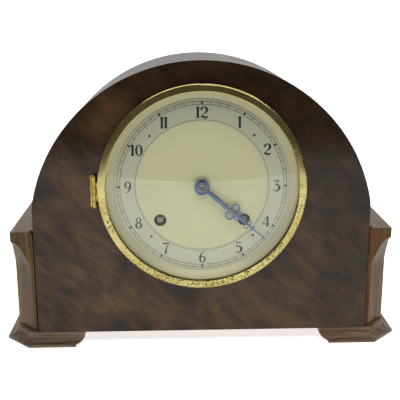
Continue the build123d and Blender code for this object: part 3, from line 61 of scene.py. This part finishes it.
class Finish:
    """A surface finish under construction. Each step returns the output to feed to the next."""

    def __init__(self, name, **even):
        self.material = bpy.data.materials.new(name)
        self.material.use_nodes = True
        self.tree = self.material.node_tree
        self.shader = self.tree.nodes["Principled BSDF"]
        self.place = self.step("TexCoord", out="Object")
        self.give(self.shader, even)

    def give(self, target, inputs):
        for key, value in inputs.items():
            socket = target.inputs[key if isinstance(key, int) else key.replace("_", " ")]
            if isinstance(value, bpy.types.NodeSocket):
                self.tree.links.new(value, socket)
            else:
                socket.default_value = value

    def surface(self, **inputs):
        self.give(self.shader, inputs)

    def step(self, kind, out=0, setup=None, **inputs):
        made = self.tree.nodes.new("ShaderNode" + kind)
        for key, value in (setup or {}).items():
            setattr(made, key, value)
        self.give(made, inputs)
        return made.outputs[out]

    def placed(self, turn=(0, 0, 0), stretch=(1, 1, 1), source=None):
        """The place on the piece, turned in degrees and then stretched along each axis."""
        turned = self.step("Mapping", Vector=source or self.place,
                           Rotation=[math.radians(a) for a in turn])
        return self.step("Mapping", Vector=turned, Scale=stretch)

    def cloud(self, where, scale, detail=3.0, rough=0.55, bend=0.0):
        return self.step("TexNoise", Vector=where, Scale=scale, Detail=detail, Roughness=rough,
                         Distortion=bend)

    def band(self, value, low, high, to_low=0.0, to_high=1.0):
        """The value spread from one range to another, and held at its ends."""
        return self.step("MapRange", Value=value, From_Min=low, From_Max=high, To_Min=to_low,
                         To_Max=to_high)

    def sum(self, kind, a, b=0.0):
        made = self.tree.nodes.new("ShaderNodeMath")
        made.operation = kind
        self.give(made, {0: a, 1: b})
        return made.outputs[0]

    def blend(self, share, a, b, kind="MIX"):
        made = self.tree.nodes.new("ShaderNodeMix")
        made.data_type = "RGBA"
        made.blend_type = kind
        self.give(made, {0: share, 6: a, 7: b})
        return made.outputs[2]

    def tones(self, value, *stops):
        """Colours along a value: pairs of position and colour."""
        made = self.tree.nodes.new("ShaderNodeValToRGB")
        bar = made.color_ramp.elements
        while len(bar) < len(stops):
            bar.new(0.5)
        for stop, (at, colour) in zip(bar, stops):
            stop.position = at
            stop.color = colour
        self.tree.links.new(value, made.inputs[0])
        return made.outputs[0]

    def facing(self, axis, low=0.3, high=0.7):
        """How squarely the surface faces along one axis of the piece, from 0 to 1."""
        way = self.step("SeparateXYZ", out=axis, Vector=self.step("TexCoord", out="Normal"))
        return self.band(self.sum("ABSOLUTE", way), low, high)

    def relief(self, height, depth, strength=1.0, over=None):
        inputs = {"Height": height, "Distance": depth, "Strength": strength}
        if over is not None:
            inputs["Normal"] = over
        return self.step("Bump", **inputs)


def dress(name, finish):
    """Gives a carried-over piece its finish, on every one of its faces."""
    slots = node[name].material_slots
    for one in slots:
        one.material = finish.material
    if not slots:
        node[name].data.materials.append(finish.material)


def burr_veneer(name, slant, dark, middle, light, rust):
    """Figured walnut: broad clouds, soft slanting curl, rusty flecks, fine pores, scratches."""
    wood = Finish(name, Specular_IOR_Level=0.06, Coat_Roughness=0.11, Coat_IOR=1.4)
    fibre = wood.cloud(wood.placed(turn=(0, slant, 0), stretch=(1.0, 1.0, 0.22)), 560.0, 3.0,
                       0.6, 0.4)
    curl = wood.cloud(wood.placed(turn=(0, slant, 0), stretch=(1.0, 1.0, 0.32)), 170.0, 3.0,
                      0.6, 0.8)
    cross = wood.cloud(wood.placed(turn=(0, slant, 0), stretch=(1.0, 1.0, 0.42)), 62.0,
                       2.0, 0.5, 0.5)
    cloud = wood.cloud(wood.place, 21.0, 3.0, 0.5, 0.3)
    depth = wood.sum("ADD", wood.sum("MULTIPLY", fibre, 0.13), wood.sum("MULTIPLY", curl, 0.17))
    depth = wood.sum("ADD", depth, wood.sum("MULTIPLY", cross, 0.28))
    depth = wood.sum("ADD", depth, wood.sum("MULTIPLY", cloud, 0.42))
    body = wood.tones(wood.band(depth, 0.41, 0.60), (0.0, dark), (0.5, middle), (1.0, light))
    flecks = wood.cloud(wood.placed(turn=(0, slant, 0), stretch=(1.0, 1.0, 0.4)), 120.0,
                        3.0, 0.6, 0.5)
    body = wood.blend(wood.band(flecks, 0.50, 0.76, 0.0, 0.42), body, rust)
    pores = wood.cloud(wood.placed(turn=(0, slant, 0), stretch=(1.0, 1.0, 0.25)), 1500.0, 2.0)
    body = wood.blend(wood.band(pores, 0.60, 0.72, 0.0, 0.3), body, dark)
    # Painted shade: the veneer's colour is darkened towards the crown of the arch and towards the
    # right, where less light falls on it.
    low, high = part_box("front_panel")
    height = wood.step("SeparateXYZ", Vector=wood.place, out="Z")
    across = wood.step("SeparateXYZ", Vector=wood.place, out="X")
    painted_shade_share = wood.sum("ADD", wood.band(height, low.z + 0.3 * (high.z - low.z), high.z, 0.0, 0.55),
                    wood.band(across, -0.5 * high.x, high.x, 0.0, 0.35))
    body = wood.blend(painted_shade_share, body, dark)
    scratch = wood.step("TexNoise", Scale=26.0, Detail=0.0, Vector=wood.placed(
        turn=(0, 62, 0), stretch=(9.0, 1.0, 0.9)))
    thin = wood.band(wood.sum("ABSOLUTE", wood.sum("SUBTRACT", scratch, 0.62)), 0.0, 0.0022,
                     0.30, 0.0)
    body = wood.blend(thin, body, shade(120, 92, 62))
    haze = wood.cloud(wood.place, 9.0, 2.0)
    front = wood.facing("Y")
    wood.surface(Base_Color=wood.blend(front, shade(44, 33, 22), body),
                 Roughness=wood.band(haze, 0.3, 0.7, 0.30, 0.42),
                 Coat_Weight=wood.sum("MULTIPLY", front, 0.62),
                 Normal=wood.relief(pores, 0.02 * MM, 0.25))
    return wood


panel_veneer = burr_veneer("burr_walnut_panel", 50, shade(26, 17, 8), shade(55, 38, 18),
                           shade(84, 61, 31), shade(104, 62, 24))
dress("front_panel", panel_veneer)

# ---- Arched shell ---------------------------------------------------------------------------
# Thin ply bent over the arch and faced with straight walnut laid front to back, sealed with the
# same varnish, which shows fine lengthwise lines where it catches the light.
shell_veneer = Finish("walnut_shell", Specular_IOR_Level=0.22)
lengthwise = shell_veneer.placed(stretch=(1.0, 0.05, 1.0))
shell_fibre = shell_veneer.cloud(lengthwise, 420.0, 4.0, 0.6)
shell_cloud = shell_veneer.cloud(shell_veneer.place, 30.0, 3.0)
shell_depth = shell_veneer.sum("ADD", shell_veneer.sum("MULTIPLY", shell_fibre, 0.6),
                               shell_veneer.sum("MULTIPLY", shell_cloud, 0.4))
shell_colour = shell_veneer.tones(shell_veneer.band(shell_depth, 0.34, 0.66),
                                  (0.0, shade(24, 18, 12)), (1.0, shade(64, 46, 30)))
shell_veneer.surface(Base_Color=shell_colour,
                     Roughness=shell_veneer.band(shell_cloud, 0.3, 0.7, 0.42, 0.52),
                     Normal=shell_veneer.relief(shell_fibre, 0.05 * MM, 0.5))
dress("arch_shell", shell_veneer)


# ---- Side wings -----------------------------------------------------------------------------
# Solid walnut blocks with the grain upright, shaped with a square nose that runs out into a
# canted corner. Orange heartwood streaks show in their front faces under the varnish.
def solid_walnut(name, stretch, dark, middle, light, glow, gloss=0.6):
    """Plain sawn walnut with its grain along the axis that the stretch makes long."""
    wood = Finish(name, Specular_IOR_Level=0.09, Coat_Roughness=0.16, Coat_IOR=1.35)
    along = wood.placed(stretch=stretch)
    fibre = wood.cloud(along, 700.0, 4.0, 0.6, 0.3)
    ring = wood.cloud(along, 150.0, 3.0, 0.6, 0.5)
    wide = wood.cloud(along, 42.0, 2.0, 0.5, 0.3)
    depth = wood.sum("ADD", wood.sum("MULTIPLY", fibre, 0.35), wood.sum("MULTIPLY", ring, 0.35))
    depth = wood.sum("ADD", depth, wood.sum("MULTIPLY", wide, 0.30))
    body = wood.tones(wood.band(depth, 0.36, 0.64), (0.0, dark), (0.5, middle), (1.0, light))
    body = wood.blend(wood.band(wide, 0.50, 0.66, 0.0, 0.75), body, glow, "SOFT_LIGHT")
    level = wood.facing("Z")
    wood.surface(Base_Color=body, Roughness=wood.band(ring, 0.3, 0.7, 0.34, 0.46),
                 Coat_Weight=wood.band(level, 0.0, 1.0, gloss, 0.0),
                 Normal=wood.relief(fibre, 0.03 * MM, 0.35))
    return wood


UPRIGHT_GRAIN = (1.0, 1.0, 0.05)
wing_walnut = solid_walnut("walnut_wing", UPRIGHT_GRAIN, shade(36, 27, 14), shade(86, 66, 35),
                           shade(134, 104, 58), shade(176, 122, 54), gloss=0.2)
for name in ("left_wing", "right_wing"):
    dress(name, wing_walnut)

# ---- Moulded feet ---------------------------------------------------------------------------
# Walnut blocks run through a cutter for the fillet and the hollow, mitred at the canted corner
# and screwed up into the base. The grain lies across the clock.
CROSS_GRAIN = (0.06, 1.0, 1.0)
foot_walnut = solid_walnut("walnut_foot", CROSS_GRAIN, shade(54, 44, 34), shade(108, 89, 72),
                           shade(152, 130, 108), shade(150, 96, 56), gloss=0.25)
for name in ("left_foot", "right_foot"):
    dress(name, foot_walnut)

# ---- Base board, back frame and rear door ---------------------------------------------------
# Birch ply, stained a thin brown and left open grained, since nobody sees it on the mantel.
ply = solid_walnut("stained_ply", CROSS_GRAIN, shade(84, 58, 36), shade(120, 86, 54),
                   shade(148, 110, 72), shade(170, 120, 70), gloss=0.1)
door_ply = solid_walnut("stained_ply_door", UPRIGHT_GRAIN, shade(84, 58, 36), shade(126, 90, 56),
                        shade(154, 116, 76), shade(170, 120, 70), gloss=0.15)
for name in ("base_board", "back_frame"):
    dress(name, ply)
dress("back_door", door_ply)
raw_wood = solid_walnut("raw_softwood", (1.0, 0.05, 1.0), shade(140, 108, 66),
                        shade(178, 142, 92), shade(206, 172, 122), shade(190, 140, 80), gloss=0.0)
dress("glue_blocks", raw_wood)


# ---- Bezel, glass retainer and hinges -------------------------------------------------------
# Brass rolled to a rounded section, polished and lacquered. The lacquer has gone in places, so
# the metal is pitted along the lower right and has brown tarnish in spots.
def brass(name, tone, dull, rough, pits, worn=None):
    """Lacquered brass with cloudy tone, fine scratches and dark pits where the lacquer failed."""
    metal = Finish(name, Metallic=1.0)
    cloud = metal.cloud(metal.place, 55.0, 3.0)
    fine = metal.cloud(metal.place, 900.0, 3.0, 0.6)
    body = metal.blend(metal.band(cloud, 0.42, 0.62), tone, dull)
    spots = metal.cloud(metal.place, 760.0, 2.0, 0.65)
    wide = metal.cloud(metal.place, 60.0, 2.0)
    if worn:
        middle = metal.step("Mapping", Vector=metal.place, Location=[-v for v in worn])
        across = metal.step("SeparateXYZ", Vector=middle, out="X")
        down = metal.step("SeparateXYZ", Vector=middle, out="Z")
        slope = metal.sum("SUBTRACT", metal.sum("MULTIPLY", across, 0.8),
                          metal.sum("MULTIPLY", down, 4.0))
        wide = metal.sum("ADD", wide, slope)
    amount = metal.band(wide, 0.47, 0.72, 0.0, pits)
    mark = metal.sum("MULTIPLY", metal.band(spots, 0.53, 0.60), amount)
    body = metal.blend(mark, body, shade(64, 48, 22))
    metal.surface(Base_Color=body,
                  Roughness=metal.sum("ADD", metal.band(fine, 0.3, 0.7, rough, rough + 0.12),
                                      metal.sum("MULTIPLY", mark, 0.35)),
                  Normal=metal.relief(mark, -0.05 * MM, 0.8))
    return metal


bezel_brass = brass("bezel_brass", shade(184, 173, 115), shade(168, 153, 92), 0.12, 0.9,
                    sum(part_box("bezel_ring"), Vector()) / 2)
hinge_brass = brass("hinge_brass", shade(196, 174, 92), shade(140, 106, 46), 0.24, 1.0)
dress("bezel_ring", bezel_brass)
for name in ("glass_retainer", "bezel_hinge_case_leaf", "bezel_hinge_door_leaf",
             "bezel_hinge_pin", "door_hinge_frame_leaf", "door_hinge_door_leaf",
             "door_hinge_pin", "door_knob"):
    dress(name, hinge_brass)

# ---- Dial pan -------------------------------------------------------------------------------
# One brass pressing, gilt and then matted with a fine grain, lacquered pale champagne.
dial_middle = sum(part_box("chapter_ring"), Vector()) / 2
gilt = Finish("matt_gilt", Metallic=0.35, Specular_IOR_Level=0.4)
gilt_grain = gilt.cloud(gilt.place, 2600.0, 2.0, 0.6)
gilt_cloud = gilt.cloud(gilt.place, 16.0, 2.0)
gilt_colour = gilt.blend(gilt_cloud, shade(214, 206, 176), shade(206, 197, 166))
gilt_colour = gilt.blend(gilt.band(gilt_grain, 0.4, 0.7, 0.0, 0.12), gilt_colour,
                         shade(158, 148, 110))
gilt.surface(Base_Color=gilt_colour, Roughness=gilt.band(gilt_grain, 0.3, 0.7, 0.42, 0.52),
             Normal=gilt.relief(gilt_grain, 0.01 * MM, 0.3))
dress("dial_pan", gilt)

# ---- Chapter ring ---------------------------------------------------------------------------
# A separate silvered brass ring, grained round and round, held by four small dark rivets.
silver = Finish("silvered_ring", Metallic=0.6)
silver_grain = silver.cloud(silver.place, 1800.0, 2.0)
silver_colour = silver.blend(silver.cloud(silver.place, 20.0), shade(202, 196, 182),
                             shade(188, 182, 166))
silver.surface(Base_Color=silver_colour,
               Roughness=silver.band(silver_grain, 0.3, 0.7, 0.38, 0.5),
               Normal=silver.relief(silver_grain, 0.01 * MM, 0.3))
dress("chapter_ring", silver)

pin_black = Finish("blackened_rivet", Metallic=0.7, Roughness=0.4)
pin_black.surface(Base_Color=pin_black.blend(pin_black.cloud(pin_black.place, 900.0),
                                             shade(50, 46, 38), shade(24, 22, 18)))
dress("chapter_ring_pins", pin_black)

# ---- Printed figures and minute track -------------------------------------------------------
# Black printing ink laid on the ring: upright figures with thick and thin strokes, a ring of
# minute marks between two lines, and one fine line at the inner edge.
DIAL_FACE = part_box("chapter_ring")[0].y
INK_THICK = 0.03 * MM
INNER_LINE_R = 52.1 * MM
TRACK_IN_R = 63.8 * MM
TRACK_OUT_R = 66.1 * MM
FIGURE_R = 57.8 * MM
FIGURE_H = 8.8 * MM
INK_SPREAD = 1.25            # printed strokes swell by this
LINE_W = 0.36 * MM
WIDE_FIGURE = 0.62


def flat_sheet(outlines, quads):
    """One mesh of thin printed patches from (x, z) points, sunk a hair into the dial's face."""
    built = bmesh.new()
    front, back = DIAL_FACE - INK_THICK, DIAL_FACE + INK_THICK / 3
    for outline, faces in zip(outlines, quads):
        fore = [built.verts.new((x, front, z)) for x, z in outline]
        rear = [built.verts.new((x, back, z)) for x, z in outline]
        edges = {}
        for face in faces:
            built.faces.new([fore[i] for i in face])
            built.faces.new([rear[i] for i in reversed(face)])
            for a, b in zip(face, face[1:] + face[:1]):
                edges[(a, b)] = True
        for a, b in edges:
            if (b, a) not in edges:
                built.faces.new([fore[b], fore[a], rear[a], rear[b]])
    bmesh.ops.recalc_face_normals(built, faces=built.faces)
    return built


def ribbon(path, widths, closed=False):
    """A stroke's outline: points down both sides of a path, and the quads between them."""
    count = len(path)
    points, faces = [], []
    for i, (x, z) in enumerate(path):
        before = path[i - 1] if i or closed else path[0]
        after = path[(i + 1) % count] if i + 1 < count or closed else path[-1]
        dx, dz = after[0] - before[0], after[1] - before[1]
        size = math.hypot(dx, dz) or 1.0
        half = widths[i] / 2
        points += [(x - dz / size * half, z + dx / size * half),
                   (x + dz / size * half, z - dx / size * half)]
    for i in range(count if closed else count - 1):
        a, b = 2 * i, 2 * ((i + 1) % count)
        faces.append([a, a + 1, b + 1, b])
    return points, faces


def flow(points, steps=6):
    """A smooth run through (x, z, width) points."""
    run = []
    for i in range(len(points) - 1):
        p0 = points[max(i - 1, 0)]
        p1, p2 = points[i], points[i + 1]
        p3 = points[min(i + 2, len(points) - 1)]
        for j in range(steps + (i == len(points) - 2)):
            t = j / steps
            run.append([0.5 * (2 * b + (c - a) * t + (2 * a - 5 * b + 4 * c - d) * t * t
                               + (3 * b - a - 3 * c + d) * t ** 3)
                        for a, b, c, d in zip(p0, p1, p2, p3)])
    return run


def oval(cx, cz, out_x, out_z, in_x, in_z):
    """A ring of a figure, thick at its sides and thin above and below."""
    run = []
    for i in range(25):
        turn = 2 * math.pi * i / 24
        c, s = math.cos(turn), math.sin(turn)
        mid_x, mid_z = (out_x + in_x) / 2, (out_z + in_z) / 2
        run.append([cx + mid_x * c, cz + mid_z * s,
                    (out_x - in_x) * c * c + (out_z - in_z) * s * s])
    return run


STROKES = {
    "0": [oval(0.31, 0.5, 0.31, 0.51, 0.15, 0.45)],
    "1": [flow([(0.1, 0.0, 0.20), (0.1, 0.5, 0.16), (0.1, 1.0, 0.22)], 2)],
    "2": [flow([(0.12, 0.70, 0.20), (0.10, 0.86, 0.12), (0.31, 0.98, 0.07), (0.51, 0.84, 0.16),
                (0.53, 0.62, 0.17), (0.36, 0.42, 0.07), (0.10, 0.20, 0.05)]),
          flow([(0.02, 0.05, 0.06), (0.16, 0.13, 0.13), (0.38, 0.06, 0.15), (0.52, 0.05, 0.12),
                (0.60, 0.20, 0.05)])],
    "3": [flow([(0.06, 0.96, 0.08), (0.55, 0.96, 0.08)], 1),
          flow([(0.53, 0.94, 0.05), (0.27, 0.60, 0.05)], 1),
          flow([(0.22, 0.58, 0.06), (0.45, 0.55, 0.12), (0.56, 0.32, 0.17), (0.42, 0.07, 0.11),
                (0.20, 0.03, 0.06), (0.03, 0.16, 0.07)])],
    "4": [flow([(0.43, 1.0, 0.05), (0.02, 0.28, 0.05)], 1),
          flow([(0.0, 0.28, 0.06), (0.64, 0.28, 0.06)], 1),
          flow([(0.46, 1.0, 0.12), (0.46, 0.0, 0.15)], 1)],
    "5": [flow([(0.10, 0.96, 0.09), (0.54, 0.96, 0.09)], 1),
          flow([(0.13, 0.96, 0.05), (0.10, 0.55, 0.05)], 1),
          flow([(0.09, 0.54, 0.05), (0.34, 0.62, 0.10), (0.55, 0.35, 0.17), (0.40, 0.07, 0.11),
                (0.20, 0.03, 0.06), (0.03, 0.14, 0.07)])],
    "6": [oval(0.31, 0.30, 0.29, 0.31, 0.16, 0.25),
          flow([(0.09, 0.34, 0.14), (0.15, 0.68, 0.12), (0.30, 0.90, 0.07), (0.46, 1.0, 0.05)])],
    "7": [flow([(0.02, 0.95, 0.11), (0.58, 0.95, 0.09)], 1),
          flow([(0.55, 0.92, 0.05), (0.36, 0.55, 0.09), (0.27, 0.0, 0.17)])],
    "8": [oval(0.31, 0.75, 0.22, 0.26, 0.12, 0.21), oval(0.31, 0.27, 0.30, 0.28, 0.16, 0.22)],
}
STROKES["9"] = [[[WIDE_FIGURE - x, 1 - z, w] for x, z, w in run] for run in STROKES["6"]]
ADVANCE = {"1": 0.34}


def figure_strokes(text, middle):
    """The strokes of a printed number with its middle at an (x, z) point."""
    widths = [ADVANCE.get(c, WIDE_FIGURE + 0.08) for c in text]
    left = -sum(widths) / 2 + 0.06
    found = []
    for c, wide in zip(text, widths):
        for run in STROKES[c]:
            path = [(middle[0] + (x + left) * FIGURE_H, middle[1] + (z - 0.5) * FIGURE_H)
                    for x, z, w in run]
            found.append(ribbon(path, [w * FIGURE_H * INK_SPREAD for x, z, w in run]))
        left += wide
    return found


def ring_line(radius, width, count=240):
    path = [(dial_middle.x + radius * math.sin(2 * math.pi * i / count),
             dial_middle.z + radius * math.cos(2 * math.pi * i / count)) for i in range(count)]
    return ribbon(path, [width] * count, closed=True)


def clock_point(radius, angle):
    turn = math.radians(angle)
    return (dial_middle.x + radius * math.sin(turn), dial_middle.z + radius * math.cos(turn))


def piece(name, built, finish, body):
    """Makes a piece of the clock from built mesh, and fixes it to the body it moves with."""
    mesh = bpy.data.meshes.new(name)
    built.to_mesh(mesh)
    built.free()
    made = bpy.data.objects.new(name, mesh)
    bpy.context.scene.collection.objects.link(made)
    mesh.materials.append(finish.material)
    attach(made, body)
    return made


ink = Finish("printing_ink", Roughness=0.5)
ink.surface(Base_Color=ink.tones(ink.cloud(ink.place, 1400.0, 2.0), (0.3, shade(14, 14, 12)),
                                 (0.7, shade(30, 29, 25))))
figures = []
for hour in range(1, 13):
    figures += figure_strokes(str(hour), clock_point(FIGURE_R, hour * 30))
piece("printed_figures", flat_sheet(*zip(*figures)), ink, "case")

track = [ring_line(TRACK_IN_R, LINE_W), ring_line(TRACK_OUT_R, LINE_W),
         ring_line(INNER_LINE_R, LINE_W * 0.8)]
for minute in range(60):
    bold = minute % 5 == 0
    ends = [clock_point(r, minute * 6) for r in (TRACK_IN_R - bold * 0.2 * MM,
                                                (TRACK_IN_R + TRACK_OUT_R) / 2,
                                                TRACK_OUT_R + bold * 0.2 * MM)]
    widths = [0.6 * MM, 1.7 * MM, 0.6 * MM] if bold else [0.42 * MM] * 3
    track.append(ribbon(ends, widths))
piece("printed_minute_track", flat_sheet(*zip(*track)), ink, "case")

# ---- Hands ----------------------------------------------------------------------------------
# Pierced from thin steel and heat blued, held on the brass centre arbor by a worn steel nut.
blued = Finish("blued_steel", Metallic=1.0)
blued_cloud = blued.cloud(blued.place, 260.0)
blued.surface(Base_Color=blued.tones(blued_cloud, (0.3, shade(66, 84, 122)),
                                     (0.7, shade(102, 120, 154))),
              Roughness=blued.band(blued_cloud, 0.3, 0.7, 0.26, 0.4))
for name in ("minute_hand", "hour_hand"):
    dress(name, blued)


def steel(name, dark, light, rough):
    """Turned or milled steel with fine tool marks and a little oil haze."""
    metal = Finish(name, Metallic=1.0)
    marks = metal.cloud(metal.place, 1200.0, 3.0)
    haze = metal.cloud(metal.place, 60.0, 2.0)
    metal.surface(Base_Color=metal.blend(haze, dark, light),
                  Roughness=metal.band(marks, 0.3, 0.7, rough, rough + 0.15),
                  Normal=metal.relief(marks, 0.02 * MM, 0.3))
    return metal


bright_steel = steel("bright_steel", shade(150, 152, 150), shade(206, 208, 206), 0.2)
dress("case_screws", bright_steel)
dress("hand_nut", steel("worn_steel", shade(84, 84, 80), shade(140, 138, 132), 0.24))
# Painted light and shade on the winding arbors: their steel is painted near black on the sides, as
# the shade in the winding holes, and pale on the end faces, as if lit.
painted_arbor_steel = steel("arbor_steel_with_painted_shade", shade(20, 20, 19), shade(40, 40, 38), 0.35)
painted_lit_end = painted_arbor_steel.facing("Y", 0.9, 0.95)
painted_arbor_steel.surface(Base_Color=painted_arbor_steel.blend(painted_lit_end, shade(34, 34, 32), shade(140, 140, 136)))
for name in ("going_winding_arbor", "strike_winding_arbor"):
    dress(name, painted_arbor_steel)

# ---- Movement -------------------------------------------------------------------------------
# Brass plates and wheels, steel levers, blued mainsprings and a cast iron gong block. The arbor and
# pinion of each wheel are one piece with it, so they share its brass, as do the gong rods.
train_brass = brass("movement_brass", shade(208, 178, 104), shade(186, 150, 80), 0.28, 0.15)
# Painted shade: the front plate's brass is painted very dark, as the shade behind the dial that
# shows through the winding holes.
dress("front_plate", brass("front_plate_painted_shade", shade(70, 60, 34), shade(44, 36, 20), 0.4, 0.3))
for name in ("back_plate", "plate_pillars", "plate_nuts", "suspension_cock",
             "minute_wheel", "hour_wheel", "going_barrel",
             "strike_barrel", "going_second_wheel", "strike_pin_wheel", "centre_wheel",
             "third_wheel", "escape_wheel", "pendulum_bob", "rating_nut", "strike_third_wheel",
             "warning_wheel", "gong_rods"):
    dress(name, train_brass)
dress("centre_arbor_and_cannon",
      brass("darkened_arbor", shade(120, 96, 62), shade(84, 62, 40), 0.35, 0.3))
plain_steel = steel("plain_steel", shade(112, 114, 114), shade(164, 166, 164), 0.3)
for name in ("movement_brackets", "hammer", "strike_rack", "going_click", "strike_click", "fly",
             "anchor", "pendulum_rod"):
    dress(name, plain_steel)
spring_steel = steel("spring_steel", shade(62, 70, 84), shade(98, 106, 120), 0.28)
for name in ("going_mainspring", "strike_mainspring"):
    dress(name, spring_steel)
iron = Finish("black_cast_iron", Metallic=0.2, Roughness=0.55)
iron_grain = iron.cloud(iron.place, 420.0, 3.0)
iron.surface(Base_Color=iron.tones(iron_grain, (0.3, shade(24, 24, 25)), (0.7, shade(52, 52, 53))),
             Normal=iron.relief(iron_grain, 0.2 * MM, 0.6))
dress("gong_block", iron)

# ---- Glass ----------------------------------------------------------------------------------
# A convex glass held in the bezel. It is clear, and mirrors the room more towards its edge.
glass = Finish("clock_glass")
facing = glass.step("LayerWeight", out="Facing", Blend=0.5)
mirror_share = glass.sum("ADD", glass.sum("MULTIPLY", glass.sum("POWER", facing, 5.0), 0.9), 0.03)
see_through = glass.step("BsdfTransparent", Color=shade(250, 252, 248))
gloss = glass.step("BsdfGlossy", Roughness=0.0)
mixed = glass.tree.nodes.new("ShaderNodeMixShader")
glass.give(mixed, {0: mirror_share, 1: see_through, 2: gloss})
glass.tree.links.new(mixed.outputs[0], glass.tree.nodes["Material Output"].inputs["Surface"])
glass.tree.nodes.remove(glass.shader)
dress("bezel_glass", glass)

# ---- Table, light and camera ----------------------------------------------------------------
# A white table that ends in front of the clock, a white wall behind it, and soft lights above.
TABLE_FRONT = -0.856
TABLE_HALF_W = 1.6
WALL_BACK = 1.1
WALL_HEIGHT = 1.5
SWEEP_R = 0.4
CAMERA_AT = Vector((-21.4, -607.5, 264.2)) * MM
CAMERA_DOWN = 14.52
CAMERA_TO_RIGHT = 1.79
CAMERA_ROLL = -0.2
CAMERA_LENS = 67.0
CAMERA_SENSOR_W = 36.0
CAMERA_SHIFT = (0.007, -0.00125)
ROOM_TINT = (0.95, 0.97, 1.0, 1.0)
ROOM_STRENGTH = 0.12

sweep = bmesh.new()
section = [(TABLE_FRONT, 0.0), (WALL_BACK - SWEEP_R, 0.0)]
section += [(WALL_BACK - SWEEP_R + SWEEP_R * math.sin(math.radians(a)),
             SWEEP_R - SWEEP_R * math.cos(math.radians(a))) for a in range(10, 91, 10)]
section.append((WALL_BACK, WALL_HEIGHT))
rows = [[sweep.verts.new((side * TABLE_HALF_W, y, z)) for side in (-1, 1)] for y, z in section]
for near, far in zip(rows, rows[1:]):
    sweep.faces.new([near[0], near[1], far[1], far[0]]).smooth = True
table_mesh = bpy.data.meshes.new("table")
sweep.to_mesh(table_mesh)
sweep.free()
table = bpy.data.objects.new("table", table_mesh)
bpy.context.scene.collection.objects.link(table)
table_white = Finish("table_white", Roughness=0.8)
paper_tone = table_white.tones(table_white.cloud(table_white.place, 3.0),
                               (0.0, (0.86, 0.86, 0.86, 1)), (1.0, (0.90, 0.90, 0.90, 1)))
table_white.surface(Emission_Color=(1.0, 1.0, 1.0, 1.0), Emission_Strength=0.75,
                    Base_Color=paper_tone)
table_mesh.materials.append(table_white.material)


def soft_light(name, place, aim, size, power, tint=(1.0, 1.0, 1.0)):
    lamp = bpy.data.lights.new(name, "AREA")
    lamp.shape = "RECTANGLE"
    lamp.size, lamp.size_y = size
    lamp.energy = power
    lamp.color = tint
    holder = bpy.data.objects.new(name, lamp)
    holder.location = place
    holder.rotation_mode = "QUATERNION"
    holder.rotation_quaternion = (Vector(aim) - Vector(place)).to_track_quat("-Z", "Y")
    bpy.context.scene.collection.objects.link(holder)
    return holder


soft_light("light_above", (0.0, -0.8, 1.35), (0.0, 0.0, 0.1), (1.8, 0.7), 15.0)
soft_light("light_wall", (0.0, 0.35, 1.7), (0.0, 1.1, 0.3), (2.4, 0.5), 10.0)

room = bpy.data.worlds.new("room")
bpy.context.scene.world = room
room.use_nodes = True
air = room.node_tree.nodes["Background"]
air.inputs["Color"].default_value = ROOM_TINT
air.inputs["Strength"].default_value = ROOM_STRENGTH

lens = bpy.data.cameras.new("camera")
lens.lens = CAMERA_LENS
lens.sensor_width = CAMERA_SENSOR_W
lens.shift_x, lens.shift_y = CAMERA_SHIFT
camera = bpy.data.objects.new("camera", lens)
bpy.context.scene.collection.objects.link(camera)
camera.location = CAMERA_AT
pitch, pan = math.radians(CAMERA_DOWN), math.radians(CAMERA_TO_RIGHT)
ahead = Vector((math.sin(pan) * math.cos(pitch), math.cos(pan) * math.cos(pitch),
                -math.sin(pitch)))
camera.rotation_mode = "QUATERNION"
camera.rotation_quaternion = (ahead.to_track_quat("-Z", "Y").to_matrix()
                              @ Matrix.Rotation(math.radians(CAMERA_ROLL), 3, "Z")
                              ).to_quaternion()
lens.clip_start, lens.clip_end = 0.01, 20.0
bpy.context.scene.camera = camera
bpy.context.scene.view_settings.view_transform = "Standard"
